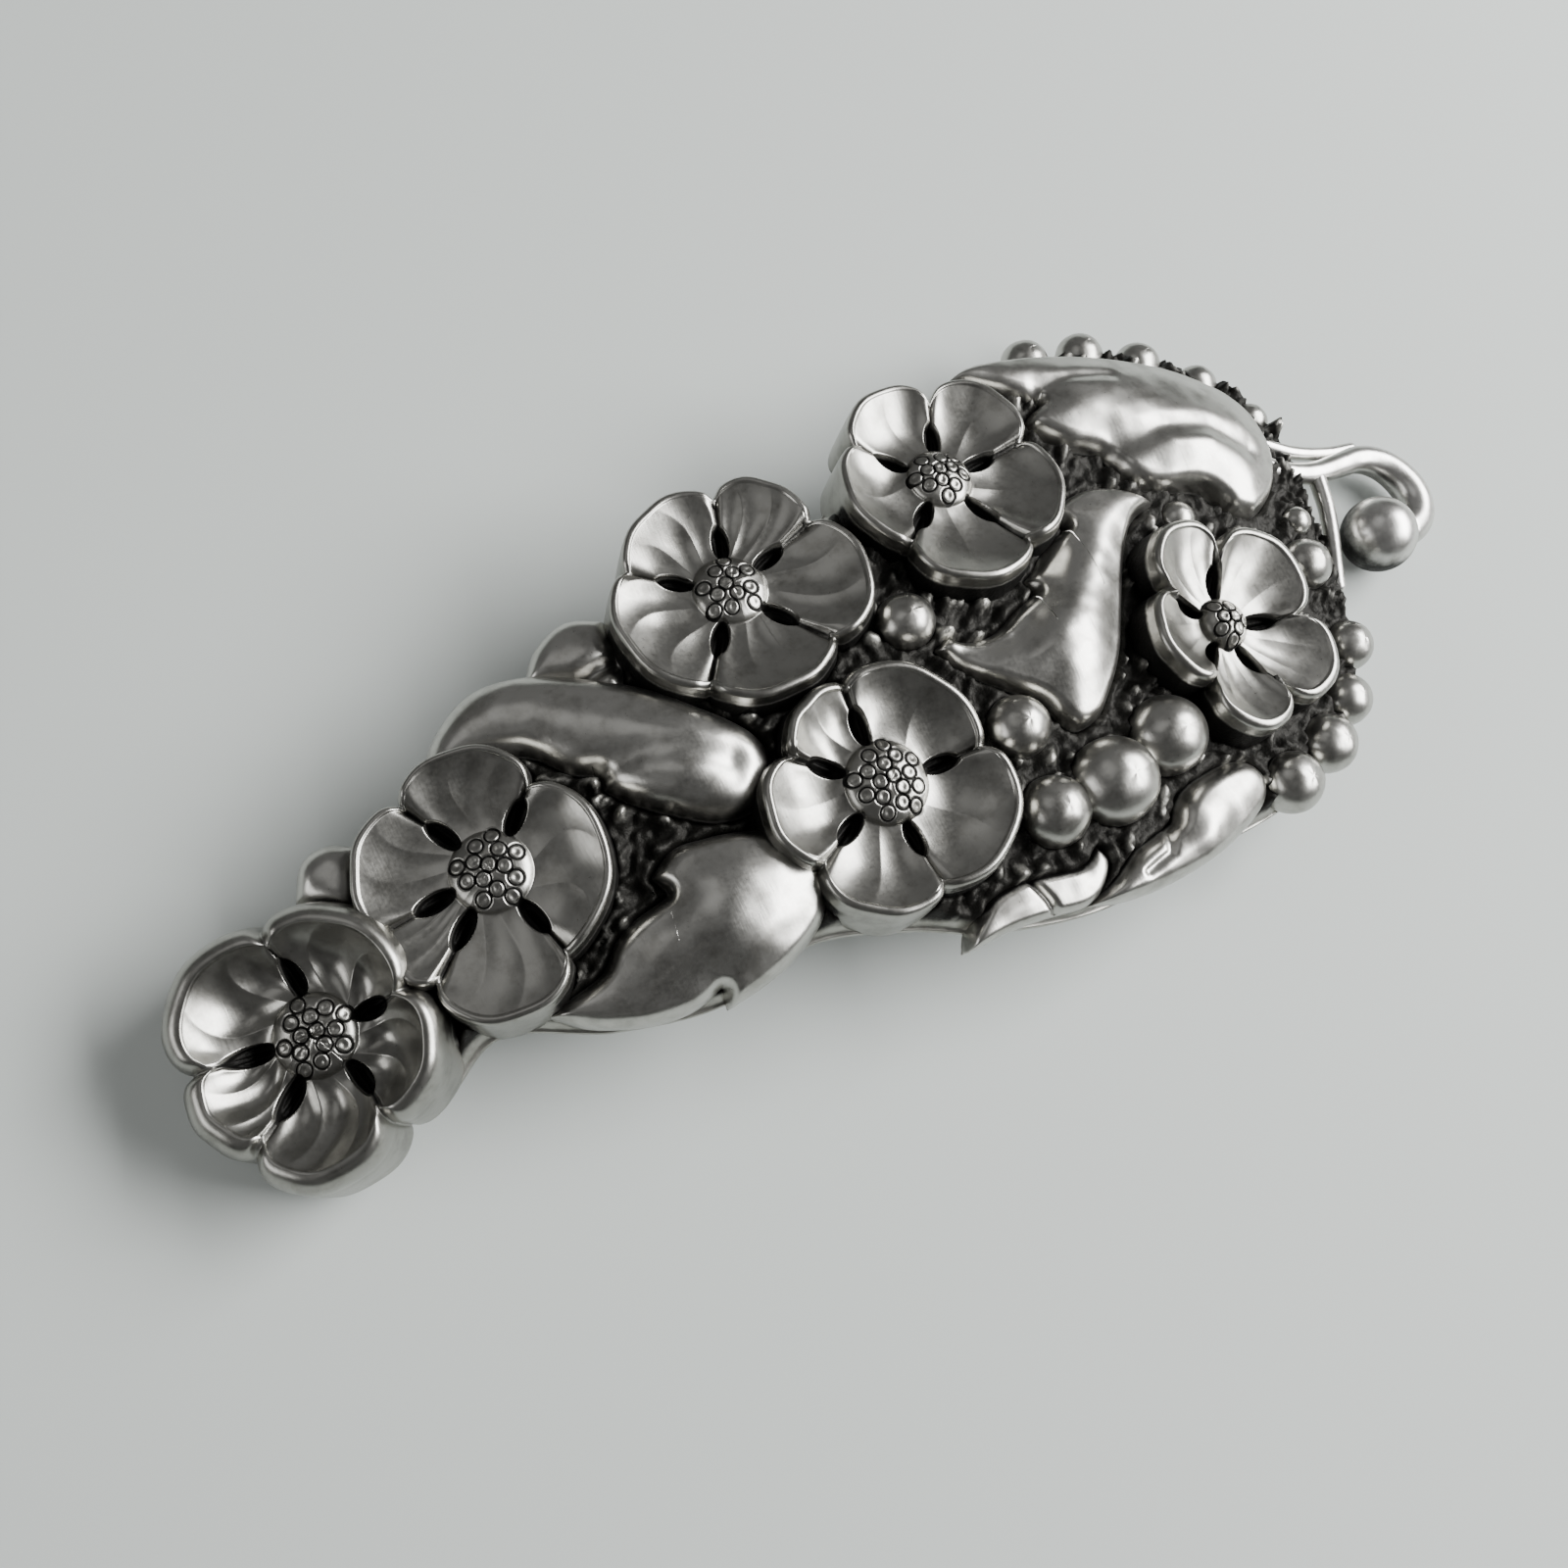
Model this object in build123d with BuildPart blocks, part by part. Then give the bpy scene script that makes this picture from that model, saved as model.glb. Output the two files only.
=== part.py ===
"""Silver spray brooch: a domed back plate that carries chased flowers, leaves, berries and a curled stem,
with a riveted pin and a roll-over safety catch underneath.

Frame, in millimetres: +Z is away from the garment, +X runs along the spray from its tip to the curled stem.
The brooch is drawn from the point under the crown of its dome, on the surface that it rests on. The finished
pieces are then moved, so that the origin is under the middle of the whole brooch.
"""

import os
from math import asin, cos, radians, sin, sqrt

from build123d import *

# ---- the domed plate ------------------------------------------------------------------------------------
BOW_ALONG = 130.0  # radius of the bow along X
BOW_ACROSS = 75.0  # radius of the bow across Y
PLATE_THICKNESS = 0.9
CROWN_HEIGHT = 8.15  # top of the plate at its middle, above the surface it rests on
MIDDLE = (2.34, 0.2)  # middle of the whole brooch, from the crown of the dome
ROOM_ABOVE = 14.0
ROOM_BELOW = 12.0
SECTION_HALF_ANGLE = 19.0
BOW_HALF_ANGLE = 24.0

# ---- relief ---------------------------------------------------------------------------------------------
FLOWER_HEIGHT = 3.5  # plate to petal rim
BOWL_DEPTH = 1.3
FLOWER_REACH = 9.0  # past the longest petal
BOSS_RADIUS = 2.2
WALL = 0.8
SLOT_WIDTH = 0.8
SLOT_LENGTH = 1.8
SLOT_MIDDLE = 3.3  # from the flower's axis
LEAF_EDGE = 0.9

# ---- pin, hinge and catch -------------------------------------------------------------------------------
PIN_AXIS_Z = 1.95
PIN_RADIUS = 0.4
HINGE_X = -25.0
CATCH_X = 22.0
TAPER_X = 20.3  # the stem is straight up to here
TAPER_END_X = 24.5
POINT_X = 27.5
TAPER_END_RADIUS = 0.3
POINT_RADIUS = 0.06
COLLAR_RADIUS = 0.6
COLLAR_REACH = 1.9  # from the hinge's axis
BARREL_RADIUS = 1.1
BARREL_WIDTH = 1.5
RIVET_RADIUS = 0.5
RIVET_HEAD_RADIUS = 0.85
RIVET_HEAD_HEIGHT = 0.35
RUNNING_CLEARANCE = 0.05
EAR_THICKNESS = 0.8
EAR_RADIUS = 1.4
EAR_GAP = BARREL_WIDTH + 2 * RUNNING_CLEARANCE
PAD_THICKNESS = 0.6
CHEEK_RADIUS = 1.65
CHEEK_THICKNESS = 0.7
CHEEK_BORE = 1.0
ROTOR_WIDTH = 1.2
ROTOR_RADIUS = 1.45
ROTOR_BORE = 0.5
MOUTH_WIDTH = 1.0
LEVER_REACH = 2.2
LEVER_THICKNESS = 0.6
NECK_WIDTH = 1.1
LEVER_ANGLE = 50.0  # from straight down towards +Y, with the catch open

# Petals of each flower, anticlockwise: angle of the slot before the petal, rim radius at that slot, and rim
# radius at the petal's middle.
FLOWERS = {
    "tip_flower": dict(
        centre=(-36.2, -4.8),
        petals=[(-2, 5.6, 6.6), (83, 6.1, 7.0), (170, 5.8, 7.1), (224, 6.4, 8.1), (293, 6.5, 7.9)],
    ),
    "second_flower": dict(
        centre=(-23.4, -1.2),
        petals=[(41, 5.0, 6.8), (115, 6.0, 7.2), (182, 6.4, 6.9), (219, 6.0, 7.7), (288, 6.0, 5.9)],
    ),
    "upper_flower": dict(
        centre=(-4.3, 7.8),
        petals=[(18, 6.6, 7.5), (72, 5.9, 6.9), (146, 6.2, 7.3), (232, 5.9, 6.7), (306, 6.1, 7.8)],
    ),
    "lower_flower": dict(
        centre=(-1.7, -5.9),
        petals=[(-5, 6.2, 7.0), (88, 6.0, 6.7), (142, 5.9, 7.6), (205, 6.3, 8.0), (270, 6.7, 7.8)],
    ),
    "crown_flower": dict(
        centre=(11.1, 9.5),
        petals=[(4, 6.6, 8.0), (65, 5.4, 7.1), (135, 5.6, 6.4), (219, 5.4, 7.5), (294, 6.2, 7.3)],
    ),
    "raised_flower": dict(
        centre=(23.9, -5.6),
        petals=[(-15, 5.4, 6.9), (72, 5.2, 7.4), (139, 5.5, 6.6), (216, 5.4, 7.5), (278, 5.2, 7.5)],
    ),
}

# Leaves: the strokes of the outline, which meet at its sharp corners, the middle and heading of the midrib,
# the height of the crown above the plate, and the width that the crown is rounded over.
LEAVES = {
    "curled_leaf": dict(
        strokes=[
            [(-24.9, 4.6), (-23.4, 6.9), (-20.5, 8.0), (-16.6, 7.2), (-12.6, 4.3), (-8.2, 0.4),
             (-6.4, -1.6)],
            [(-6.4, -1.6), (-7.6, -3.4), (-9.8, -4.4), (-12.6, -3.2), (-16.7, 0.7)],
            [(-16.7, 0.7), (-15.9, 1.3), (-15.2, 1.7)],
            [(-15.2, 1.7), (-17.0, 3.0), (-18.6, 4.3)],
            [(-18.6, 4.3), (-21.6, 4.9), (-24.9, 4.6)],
        ],
        middle=(-15.0, 3.4), heading=-38.0, crown=2.9, width=8.6,
    ),
    "fan_leaf": dict(
        strokes=[
            [(-25.8, -9.2), (-23.2, -8.4), (-20.3, -8.0), (-16.6, -6.9)],
            [(-16.6, -6.9), (-17.0, -6.5), (-17.4, -6.2)],
            [(-17.4, -6.2), (-15.0, -4.7), (-11.6, -5.4), (-9.0, -7.0)],
            [(-9.0, -7.0), (-8.2, -9.2), (-8.8, -11.6)],
            [(-8.8, -11.6), (-12.2, -13.0), (-16.8, -13.5)],
            [(-16.8, -13.5), (-16.5, -12.8), (-16.3, -12.0)],
            [(-16.3, -12.0), (-19.4, -12.3), (-22.8, -11.1), (-25.8, -9.2)],
        ],
        middle=(-15.5, -9.3), heading=6.0, crown=2.8, width=8.4,
    ),
    "centre_leaf": dict(
        strokes=[
            [(5.0, -0.4), (5.4, -2.2), (7.8, -4.4), (9.8, -6.6), (12.0, -7.9)],
            [(12.0, -7.9), (14.0, -6.4), (16.0, -5.4), (17.3, -2.7), (19.8, 0.4), (22.4, 2.4), (25.4, 3.4)],
            [(25.4, 3.4), (22.8, 5.2), (19.8, 6.2), (16.4, 5.0)],
            [(16.4, 5.0), (17.0, 4.4), (16.7, 3.7)],
            [(16.7, 3.7), (14.4, 3.2), (12.6, 2.1)],
            [(12.6, 2.1), (12.9, 1.6), (12.4, 1.1)],
            [(12.4, 1.1), (10.4, 0.3), (8.2, -0.4), (6.4, 0.6)],
            [(6.4, 0.6), (5.6, 0.3), (5.0, -0.4)],
        ],
        middle=(13.6, -1.0), heading=50.0, crown=3.3, width=11.6,
    ),
    "crown_leaf": dict(
        strokes=[
            [(15.7, 16.2), (16.7, 17.9), (20.1, 16.6), (24.5, 15.6), (29.5, 14.3), (33.7, 11.2), (36.1, 7.0),
             (34.9, 4.0), (33.1, 1.5), (30.5, 0.9), (28.6, 1.6)],
            [(28.6, 1.6), (28.4, 3.4), (27.1, 4.7), (24.7, 5.0), (23.1, 6.6)],
            [(23.1, 6.6), (23.4, 7.4), (22.9, 8.3)],
            [(22.9, 8.3), (20.5, 9.0), (19.3, 11.4), (19.7, 13.1)],
            [(19.7, 13.1), (20.5, 13.3), (21.4, 13.6)],
            [(21.4, 13.6), (18.9, 15.0), (15.7, 16.2)],
        ],
        middle=(27.3, 9.4), heading=-30.0, crown=3.4, width=12.4,
    ),
    "edge_leaf": dict(
        strokes=[
            [(6.2, -17.4), (8.4, -16.2), (11.0, -15.8), (13.4, -15.2)],
            [(13.4, -15.2), (14.2, -14.2), (15.6, -13.6), (17.8, -13.3), (20.0, -13.4), (21.4, -14.9),
             (20.6, -16.8), (16.4, -18.0), (11.0, -18.4), (6.2, -17.4)],
        ],
        middle=(14.2, -16.2), heading=8.0, crown=2.6, width=4.4,
    ),
    "thorn_leaf": dict(
        strokes=[
            [(-2.5, -16.6), (-0.9, -15.0), (1.6, -14.0), (4.0, -14.0)],
            [(4.0, -14.0), (6.0, -15.0), (8.6, -14.4)],
            [(8.6, -14.4), (7.6, -15.8), (6.2, -17.0)],
            [(6.2, -17.0), (2.4, -16.3), (-2.5, -16.6)],
        ],
        middle=(2.6, -15.5), heading=0.0, crown=1.7, width=3.0,
    ),
    "tip_bud": dict(
        strokes=[
            [(-33.6, 2.2), (-32.4, 3.8), (-30.8, 4.1), (-29.4, 3.4)],
            [(-29.4, 3.4), (-29.8, 1.4), (-30.6, 0.4)],
            [(-30.6, 0.4), (-32.2, 1.5), (-33.6, 2.2)],
        ],
        middle=(-31.3, 2.6), heading=30.0, crown=2.3, width=3.2,
    ),
    "side_bud": dict(
        strokes=[
            [(-17.2, 7.3), (-15.8, 9.0), (-13.6, 9.8), (-11.6, 9.2)],
            [(-11.6, 9.2), (-11.6, 7.0), (-12.6, 4.4)],
            [(-12.6, 4.4), (-14.8, 6.2), (-17.2, 7.3)],
        ],
        middle=(-14.2, 7.8), heading=20.0, crown=2.3, width=4.6,
    ),
    "tip_sepal": dict(
        strokes=[
            [(-30.6, -4.2), (-29.2, -4.6), (-28.2, -5.8), (-28.6, -7.4)],
            [(-28.6, -7.4), (-29.4, -6.4), (-30.6, -4.2)],
        ],
        middle=(-29.3, -5.4), heading=-60.0, crown=1.7, width=2.0,
    ),
}

# Berries: place, radius, and how far the middle stands above the plate.
BERRIES = [
    ((4.3, 2.2), 1.6, 1.2),
    ((7.4, -6.1), 1.75, 1.2),
    ((7.0, -11.3), 1.95, 1.2),
    ((11.4, -11.2), 2.45, 1.3),
    ((16.2, -10.1), 2.25, 1.3),
    ((25.9, 2.2), 1.1, 0.8),
    ((33.6, -3.6), 1.6, 1.0),
    ((35.2, -0.6), 1.1, 0.9),
    ((33.6, -9.5), 1.5, 0.9),
    ((31.1, -12.6), 1.55, 0.9),
    ((27.9, -14.6), 1.75, 0.9),
    ((23.8, -15.8), 1.8, 0.9),
    ((24.0, 17.0), 1.6, 0.9),
    ((28.5, 16.4), 1.6, 0.9),
    ((32.5, 14.5), 1.6, 0.9),
    ((36.1, 11.7), 1.45, 0.9),
    ((38.3, 7.8), 1.3, 0.9),
]

PLATE_OUTLINE = [
    (-42.6, -6.2), (-41.4, -1.4), (-38.6, 1.0), (-34.6, 1.8), (-31.2, 3.6), (-27.6, 4.2), (-24.4, 5.0),
    (-22.6, 7.0), (-19.6, 7.6), (-16.6, 7.3), (-13.6, 9.3), (-10.4, 10.2), (-7.6, 13.6), (-2.0, 13.8),
    (2.4, 11.0), (5.0, 11.8), (9.0, 15.7), (14.6, 15.4), (19.0, 16.8), (24.4, 17.6), (31.8, 15.9),
    (37.0, 12.4), (39.2, 7.8), (37.8, 1.0), (36.0, -5.2), (34.4, -10.4), (31.0, -14.0), (24.6, -17.0),
    (16.0, -17.5), (8.0, -17.7), (1.0, -16.0), (-3.6, -13.8), (-9.2, -12.0), (-15.0, -12.8),
    (-21.0, -11.4), (-26.6, -8.8), (-30.6, -10.4), (-34.4, -10.4), (-38.0, -12.0), (-41.0, -9.2),
]

# ---- the curled stem ------------------------------------------------------------------------------------
STEM_TILT = 9.0  # degrees down towards +X
STEM_ROOT = (35.4, 5.2)
STEM_LIFT = 0.75
STEM_RADIUS = 0.95
STEM_DIP = 50.0  # degrees that the first bend turns
STEM_BEND = 8.0
CURL_OUTER = 3.6
CURL_INNER = 2.5
CURL_STRAIGHT = 2.4
BALL_RADIUS = 2.6
TENDRIL_RADIUS = 0.4
SPUR_RADIUS = 0.55


def plate_plane(x, y, lift=0.0):
    """The plane that touches the plate's top over (x, y), raised by lift: its X runs along the bow."""
    across = asin(y / BOW_ACROSS)
    reach = BOW_ALONG - BOW_ACROSS + BOW_ACROSS * cos(across)
    along = asin(x / reach)
    normal = Vector(cos(across) * sin(along), sin(across), cos(across) * cos(along))
    foot = Vector(x, y, CROWN_HEIGHT - BOW_ALONG + reach * cos(along))
    return Plane(origin=foot + normal * lift, x_dir=(cos(along), 0, -sin(along)), z_dir=normal)


def dome_layer(low, high):
    """Everything between two heights above the plate's top: an arc band turned about the bow's centre."""
    tilt = radians(BOW_HALF_ANGLE)
    side = Plane(origin=(0, 0, CROWN_HEIGHT - BOW_ALONG), x_dir=(0, 1, 0), z_dir=(cos(tilt), 0, sin(tilt)))
    turn = radians(SECTION_HALF_ANGLE)
    hub = BOW_ALONG - BOW_ACROSS

    def at(radius, angle):
        return (radius * sin(angle), hub + radius * cos(angle))

    inner = BOW_ACROSS + low
    outer = BOW_ACROSS + high
    with BuildPart() as layer:
        with BuildSketch(side):
            with BuildLine():
                ThreePointArc(at(inner, -turn), at(inner, 0), at(inner, turn))
                Line(at(inner, turn), at(outer, turn))
                ThreePointArc(at(outer, turn), at(outer, 0), at(outer, -turn))
                Line(at(outer, -turn), at(inner, -turn))
            make_face()
        revolve(axis=Axis((0, 0, CROWN_HEIGHT - BOW_ALONG), (0, 1, 0)), revolution_arc=2 * BOW_HALF_ANGLE)
    return layer.part


def lobed_prism(centre, petals, inset, low, high):
    """The five-petalled outline, drawn in by inset, raised between two heights above the plate."""
    seat = plate_plane(*centre)
    with BuildPart() as prism:
        with BuildSketch(seat.offset(low)):
            with BuildLine():
                for (start, notch, rim), (end, next_notch, _) in zip(petals, petals[1:] + petals[:1]):
                    middle = radians(start + ((end - start) % 360) / 2)
                    ThreePointArc(
                        ((notch - inset) * cos(radians(start)), (notch - inset) * sin(radians(start))),
                        ((rim - inset) * cos(middle), (rim - inset) * sin(middle)),
                        ((next_notch - inset) * cos(radians(end)), (next_notch - inset) * sin(radians(end))),
                    )
            make_face()
        extrude(amount=high - low)
    return prism.part


def middle_of_ball_arc(start, end):
    """A point between two points of a profile, on the circle through both whose centre is on the axis."""
    (x1, y1), (x2, y2) = start, end
    centre = (x2**2 + y2**2 - x1**2 - y1**2) / (2 * (y2 - y1))
    radius = sqrt(x1**2 + (y1 - centre) ** 2)
    x = (x1 + x2) / 2
    rise = sqrt(radius**2 - x**2)
    return (x, centre + rise if y1 > centre else centre - rise)


def flower_bowl(centre, height):
    """The bowl of the petals round the raised boss, both parts of balls about the flower's own axis."""
    seat = plate_plane(*centre)
    valley = height - BOWL_DEPTH
    rim = (FLOWER_REACH, height + 0.5)
    foot = (BOSS_RADIUS + 0.4, valley)
    crown = (0, height + 0.1)
    section = Plane(origin=seat.origin, x_dir=seat.x_dir, z_dir=-seat.y_dir)
    with BuildPart() as bowl:
        with BuildSketch(section):
            with BuildLine():
                Polyline(crown, (0, -3), (FLOWER_REACH, -3), rim)
                ThreePointArc(rim, middle_of_ball_arc(rim, foot), foot)
                ThreePointArc(foot, middle_of_ball_arc(foot, crown), crown)
            make_face()
        revolve(axis=Axis(seat.origin, seat.z_dir))
    return bowl.part


ABOVE_PLATE = dome_layer(0, ROOM_ABOVE)
BELOW_PLATE = dome_layer(-ROOM_BELOW, -PLATE_THICKNESS)
PLATE_LAYER = dome_layer(-PLATE_THICKNESS, 0)
finished = []


def finish(builder, name):
    """Labels a piece and keeps it for export."""
    builder.part.label = name
    finished.append(builder.part)
    return builder


# ---- back plate -----------------------------------------------------------------------------------------
with BuildPart() as back_plate:
    with BuildSketch():
        with BuildLine():
            Spline(*PLATE_OUTLINE, periodic=True)
        make_face()
    extrude(amount=CROWN_HEIGHT + ROOM_ABOVE)
    add(PLATE_LAYER, mode=Mode.INTERSECT)
finish(back_plate, "back_plate")

# ---- flowers --------------------------------------------------------------------------------------------
flower_footprints = []
for name, flower in FLOWERS.items():
    centre = flower["centre"]
    petals = flower["petals"]
    flower_footprints.append(lobed_prism(centre, petals, 0, -3, ROOM_ABOVE / 2))
    hollow = lobed_prism(centre, petals, WALL, -3, ROOM_ABOVE / 2)
    with BuildPart() as hollow_bowl:
        add(flower_bowl(centre, FLOWER_HEIGHT - WALL))
        add(hollow, mode=Mode.INTERSECT)
    with BuildPart() as blossom:
        add(flower_bowl(centre, FLOWER_HEIGHT))
        add(flower_footprints[-1], mode=Mode.INTERSECT)
        add(hollow_bowl.part, mode=Mode.SUBTRACT)
        with BuildSketch(plate_plane(*centre, lift=FLOWER_HEIGHT - BOWL_DEPTH - 0.45)):
            for slot_angle, _, _ in petals:
                with PolarLocations(SLOT_MIDDLE, 1, start_angle=slot_angle):
                    SlotOverall(SLOT_LENGTH, SLOT_WIDTH)
        extrude(amount=FLOWER_HEIGHT, mode=Mode.SUBTRACT)
        add(ABOVE_PLATE, mode=Mode.INTERSECT)
    finish(blossom, name)

# ---- leaves and buds ------------------------------------------------------------------------------------
leaf_footprints = []
for name, leaf in LEAVES.items():
    seat = plate_plane(*leaf["middle"])
    sag = leaf["crown"] - LEAF_EDGE
    rounding = ((leaf["width"] / 2) ** 2 + sag**2) / (2 * sag)
    heading = radians(leaf["heading"])
    midrib = seat.x_dir * cos(heading) + seat.y_dir * sin(heading)
    core = Plane(origin=seat.origin + seat.z_dir * (leaf["crown"] - rounding), z_dir=midrib)
    with BuildPart() as footprint:
        with BuildSketch():
            with BuildLine():
                for stroke in leaf["strokes"]:
                    Spline(*stroke)
            make_face()
        extrude(amount=CROWN_HEIGHT + ROOM_ABOVE / 2)
        for other in flower_footprints + leaf_footprints:
            add(other, mode=Mode.SUBTRACT)
    main = footprint.part.solids().sort_by(SortBy.VOLUME)[-1]
    with BuildPart() as foliage:
        add(main)
        with Locations(core):
            Cylinder(rounding, 60, mode=Mode.INTERSECT)
        add(ABOVE_PLATE, mode=Mode.INTERSECT)
    leaf_footprints.append(footprint.part)
    finish(foliage, name)

# ---- berries --------------------------------------------------------------------------------------------
for number, (place, radius, lift) in enumerate(BERRIES, start=1):
    with BuildPart() as berry:
        with Locations(plate_plane(*place, lift=lift)):
            Sphere(radius)
        add(ABOVE_PLATE, mode=Mode.INTERSECT)
        for other in flower_footprints + leaf_footprints:
            add(other, mode=Mode.SUBTRACT)
    finish(berry, f"berry_{number:02d}")

# ---- the curled stem, its ball, tendril and spur --------------------------------------------------------
stem_slope = radians(STEM_TILT)
root_height = plate_plane(*STEM_ROOT, lift=STEM_LIFT).origin.Z
stem_plane = Plane(
    origin=(STEM_ROOT[0], STEM_ROOT[1], root_height),
    x_dir=(cos(stem_slope), 0, -sin(stem_slope)),
    z_dir=(sin(stem_slope), 0, cos(stem_slope)),
)
with BuildPart() as curled_stem:
    with BuildLine(stem_plane) as stem_path:
        dip = radians(STEM_DIP)
        JernArc(start=(0, 0), tangent=(cos(dip), -sin(dip)), radius=STEM_BEND, arc_size=STEM_DIP)
        bend_end = (STEM_BEND * sin(dip), -STEM_BEND * (1 - cos(dip)))
        curl_start = (bend_end[0] + CURL_STRAIGHT, bend_end[1])
        Line(bend_end, curl_start)
        JernArc(start=curl_start, tangent=(1, 0), radius=CURL_OUTER, arc_size=-90)
        turn = (curl_start[0] + CURL_OUTER, curl_start[1] - CURL_OUTER)
        JernArc(start=turn, tangent=(0, -1), radius=CURL_INNER, arc_size=-90)
    with BuildSketch(Plane(origin=stem_path.line @ 0, z_dir=stem_path.line % 0)):
        Circle(STEM_RADIUS)
    sweep()
stem_end = (turn[0] - CURL_INNER, turn[1] - CURL_INNER)
with BuildPart() as stem_ball:
    with Locations(stem_plane.from_local_coords((stem_end[0] - BALL_RADIUS + 0.1, stem_end[1] + 0.4, 0))):
        Sphere(BALL_RADIUS)
with BuildPart() as tendril:
    with BuildLine(stem_plane) as tendril_path:
        ThreePointArc((0.9, 1.2), (4.4, -1.1), (9.4, -2.1))
    with BuildSketch(Plane(origin=tendril_path.line @ 0, z_dir=tendril_path.line % 0)):
        Circle(TENDRIL_RADIUS)
    sweep()
with BuildPart() as stem_spur:
    with BuildLine(stem_plane) as spur_path:
        ThreePointArc((4.7, -4.2), (3.1, -7.5), (1.1, -10.8))
    with BuildSketch(Plane(origin=spur_path.line @ 0, z_dir=spur_path.line % 0)):
        Circle(SPUR_RADIUS)
    sweep()

placed = [back_plate.part] + [piece for piece in finished if piece.label.startswith("berry")]
for name, builder in {
    "stem_ball": stem_ball,
    "curled_stem": curled_stem,
    "tendril": tendril,
    "stem_spur": stem_spur,
}.items():
    with BuildPart() as trimmed:
        add(builder.part)
        for other in flower_footprints + leaf_footprints + placed:
            add(other, mode=Mode.SUBTRACT)
    whole = trimmed.part.solids().sort_by(SortBy.VOLUME)[-1]
    with BuildPart() as stem_piece:
        add(whole)
    placed.append(finish(stem_piece, name).part)

# ---- hinge bracket: a soldered pad with two ears --------------------------------------------------------
hinge_axis = Plane(origin=(HINGE_X, 0, PIN_AXIS_Z), x_dir=(1, 0, 0), z_dir=(0, -1, 0))
pad_level = plate_plane(HINGE_X, 0, lift=-PLATE_THICKNESS - PAD_THICKNESS)
with BuildPart() as hinge_bracket:
    with BuildSketch(pad_level):
        RectangleRounded(6.4, 5.2, 1.0)
    extrude(amount=2 * PAD_THICKNESS)
    with BuildSketch(hinge_axis):
        Circle(EAR_RADIUS)
        with Locations((0, 2)):
            Rectangle(2 * EAR_RADIUS, 4)
    extrude(amount=EAR_GAP / 2 + EAR_THICKNESS, both=True)
    with BuildSketch(hinge_axis):
        Circle(EAR_RADIUS + 0.6)
        with Locations((0, -2)):
            Rectangle(2 * EAR_RADIUS + 2, 4)
    extrude(amount=EAR_GAP / 2, both=True, mode=Mode.SUBTRACT)
    with BuildSketch(hinge_axis):
        Circle(RIVET_RADIUS)
    extrude(amount=10, both=True, mode=Mode.SUBTRACT)
    add(BELOW_PLATE, mode=Mode.INTERSECT)
finish(hinge_bracket, "hinge_bracket")

# ---- hinge rivet ----------------------------------------------------------------------------------------
with BuildPart() as hinge_rivet:
    half = EAR_GAP / 2 + EAR_THICKNESS
    with BuildSketch(hinge_axis):
        Circle(RIVET_RADIUS)
    extrude(amount=half, both=True)
    for side in (1, -1):
        ear_face = Plane(origin=(HINGE_X, side * half, PIN_AXIS_Z), x_dir=(1, 0, 0), z_dir=(0, side, 0))
        with BuildSketch(ear_face):
            Circle(RIVET_HEAD_RADIUS)
        extrude(amount=RIVET_HEAD_HEIGHT, taper=20)
finish(hinge_rivet, "hinge_rivet")

# ---- pin stem: an eye, a collar, a straight stem, and a taper to the sharp point ------------------------
pin_axis = Plane(origin=(HINGE_X, 0, PIN_AXIS_Z), x_dir=(0, 1, 0), z_dir=(1, 0, 0))
with BuildPart() as pin_stem:
    with BuildSketch(hinge_axis):
        Circle(BARREL_RADIUS)
    extrude(amount=BARREL_WIDTH / 2, both=True)
    with BuildSketch(pin_axis):
        Circle(COLLAR_RADIUS)
    extrude(amount=COLLAR_REACH)
    with BuildSketch(pin_axis):
        Circle(PIN_RADIUS)
    extrude(amount=TAPER_X - HINGE_X)
    with BuildSketch(pin_axis.offset(TAPER_X - HINGE_X)):
        Circle(PIN_RADIUS)
    with BuildSketch(pin_axis.offset(TAPER_END_X - HINGE_X)):
        Circle(TAPER_END_RADIUS)
    loft()
    with BuildSketch(pin_axis.offset(TAPER_END_X - HINGE_X)):
        Circle(TAPER_END_RADIUS)
    with BuildSketch(pin_axis.offset(POINT_X - HINGE_X)):
        Circle(POINT_RADIUS)
    loft()
    with BuildSketch(hinge_axis):
        Circle(RIVET_RADIUS + RUNNING_CLEARANCE)
    extrude(amount=BARREL_WIDTH, both=True, mode=Mode.SUBTRACT)
finish(pin_stem, "pin_stem")

# ---- catch housing: two open cheeks hung from a soldered block ------------------------------------------
catch_axis = Plane(origin=(CATCH_X, 0, PIN_AXIS_Z), x_dir=(0, 1, 0), z_dir=(1, 0, 0))
gap_half = ROTOR_WIDTH / 2 + RUNNING_CLEARANCE
catch_half = gap_half + CHEEK_THICKNESS
with BuildPart() as catch_housing:
    with BuildSketch(catch_axis):
        Circle(CHEEK_RADIUS)
        with Locations((0, 2)):
            Rectangle(NECK_WIDTH, 4)
    extrude(amount=catch_half, both=True)
    with BuildSketch(plate_plane(CATCH_X, 0, lift=-PLATE_THICKNESS - PAD_THICKNESS)):
        RectangleRounded(4.6, 4.6, 0.8)
    extrude(amount=2 * PAD_THICKNESS)
    with BuildSketch(catch_axis):
        Circle(CHEEK_RADIUS + 0.1)
        with Locations((0, -CHEEK_RADIUS)):
            Rectangle(6, 2 * CHEEK_RADIUS)
    extrude(amount=gap_half, both=True, mode=Mode.SUBTRACT)
    with BuildSketch(catch_axis):
        Circle(CHEEK_BORE + RUNNING_CLEARANCE)
        with Locations((0, -2)):
            Rectangle(MOUTH_WIDTH, 4)
    extrude(amount=3, both=True, mode=Mode.SUBTRACT)
    add(BELOW_PLATE, mode=Mode.INTERSECT)
finish(catch_housing, "catch_housing")

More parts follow.
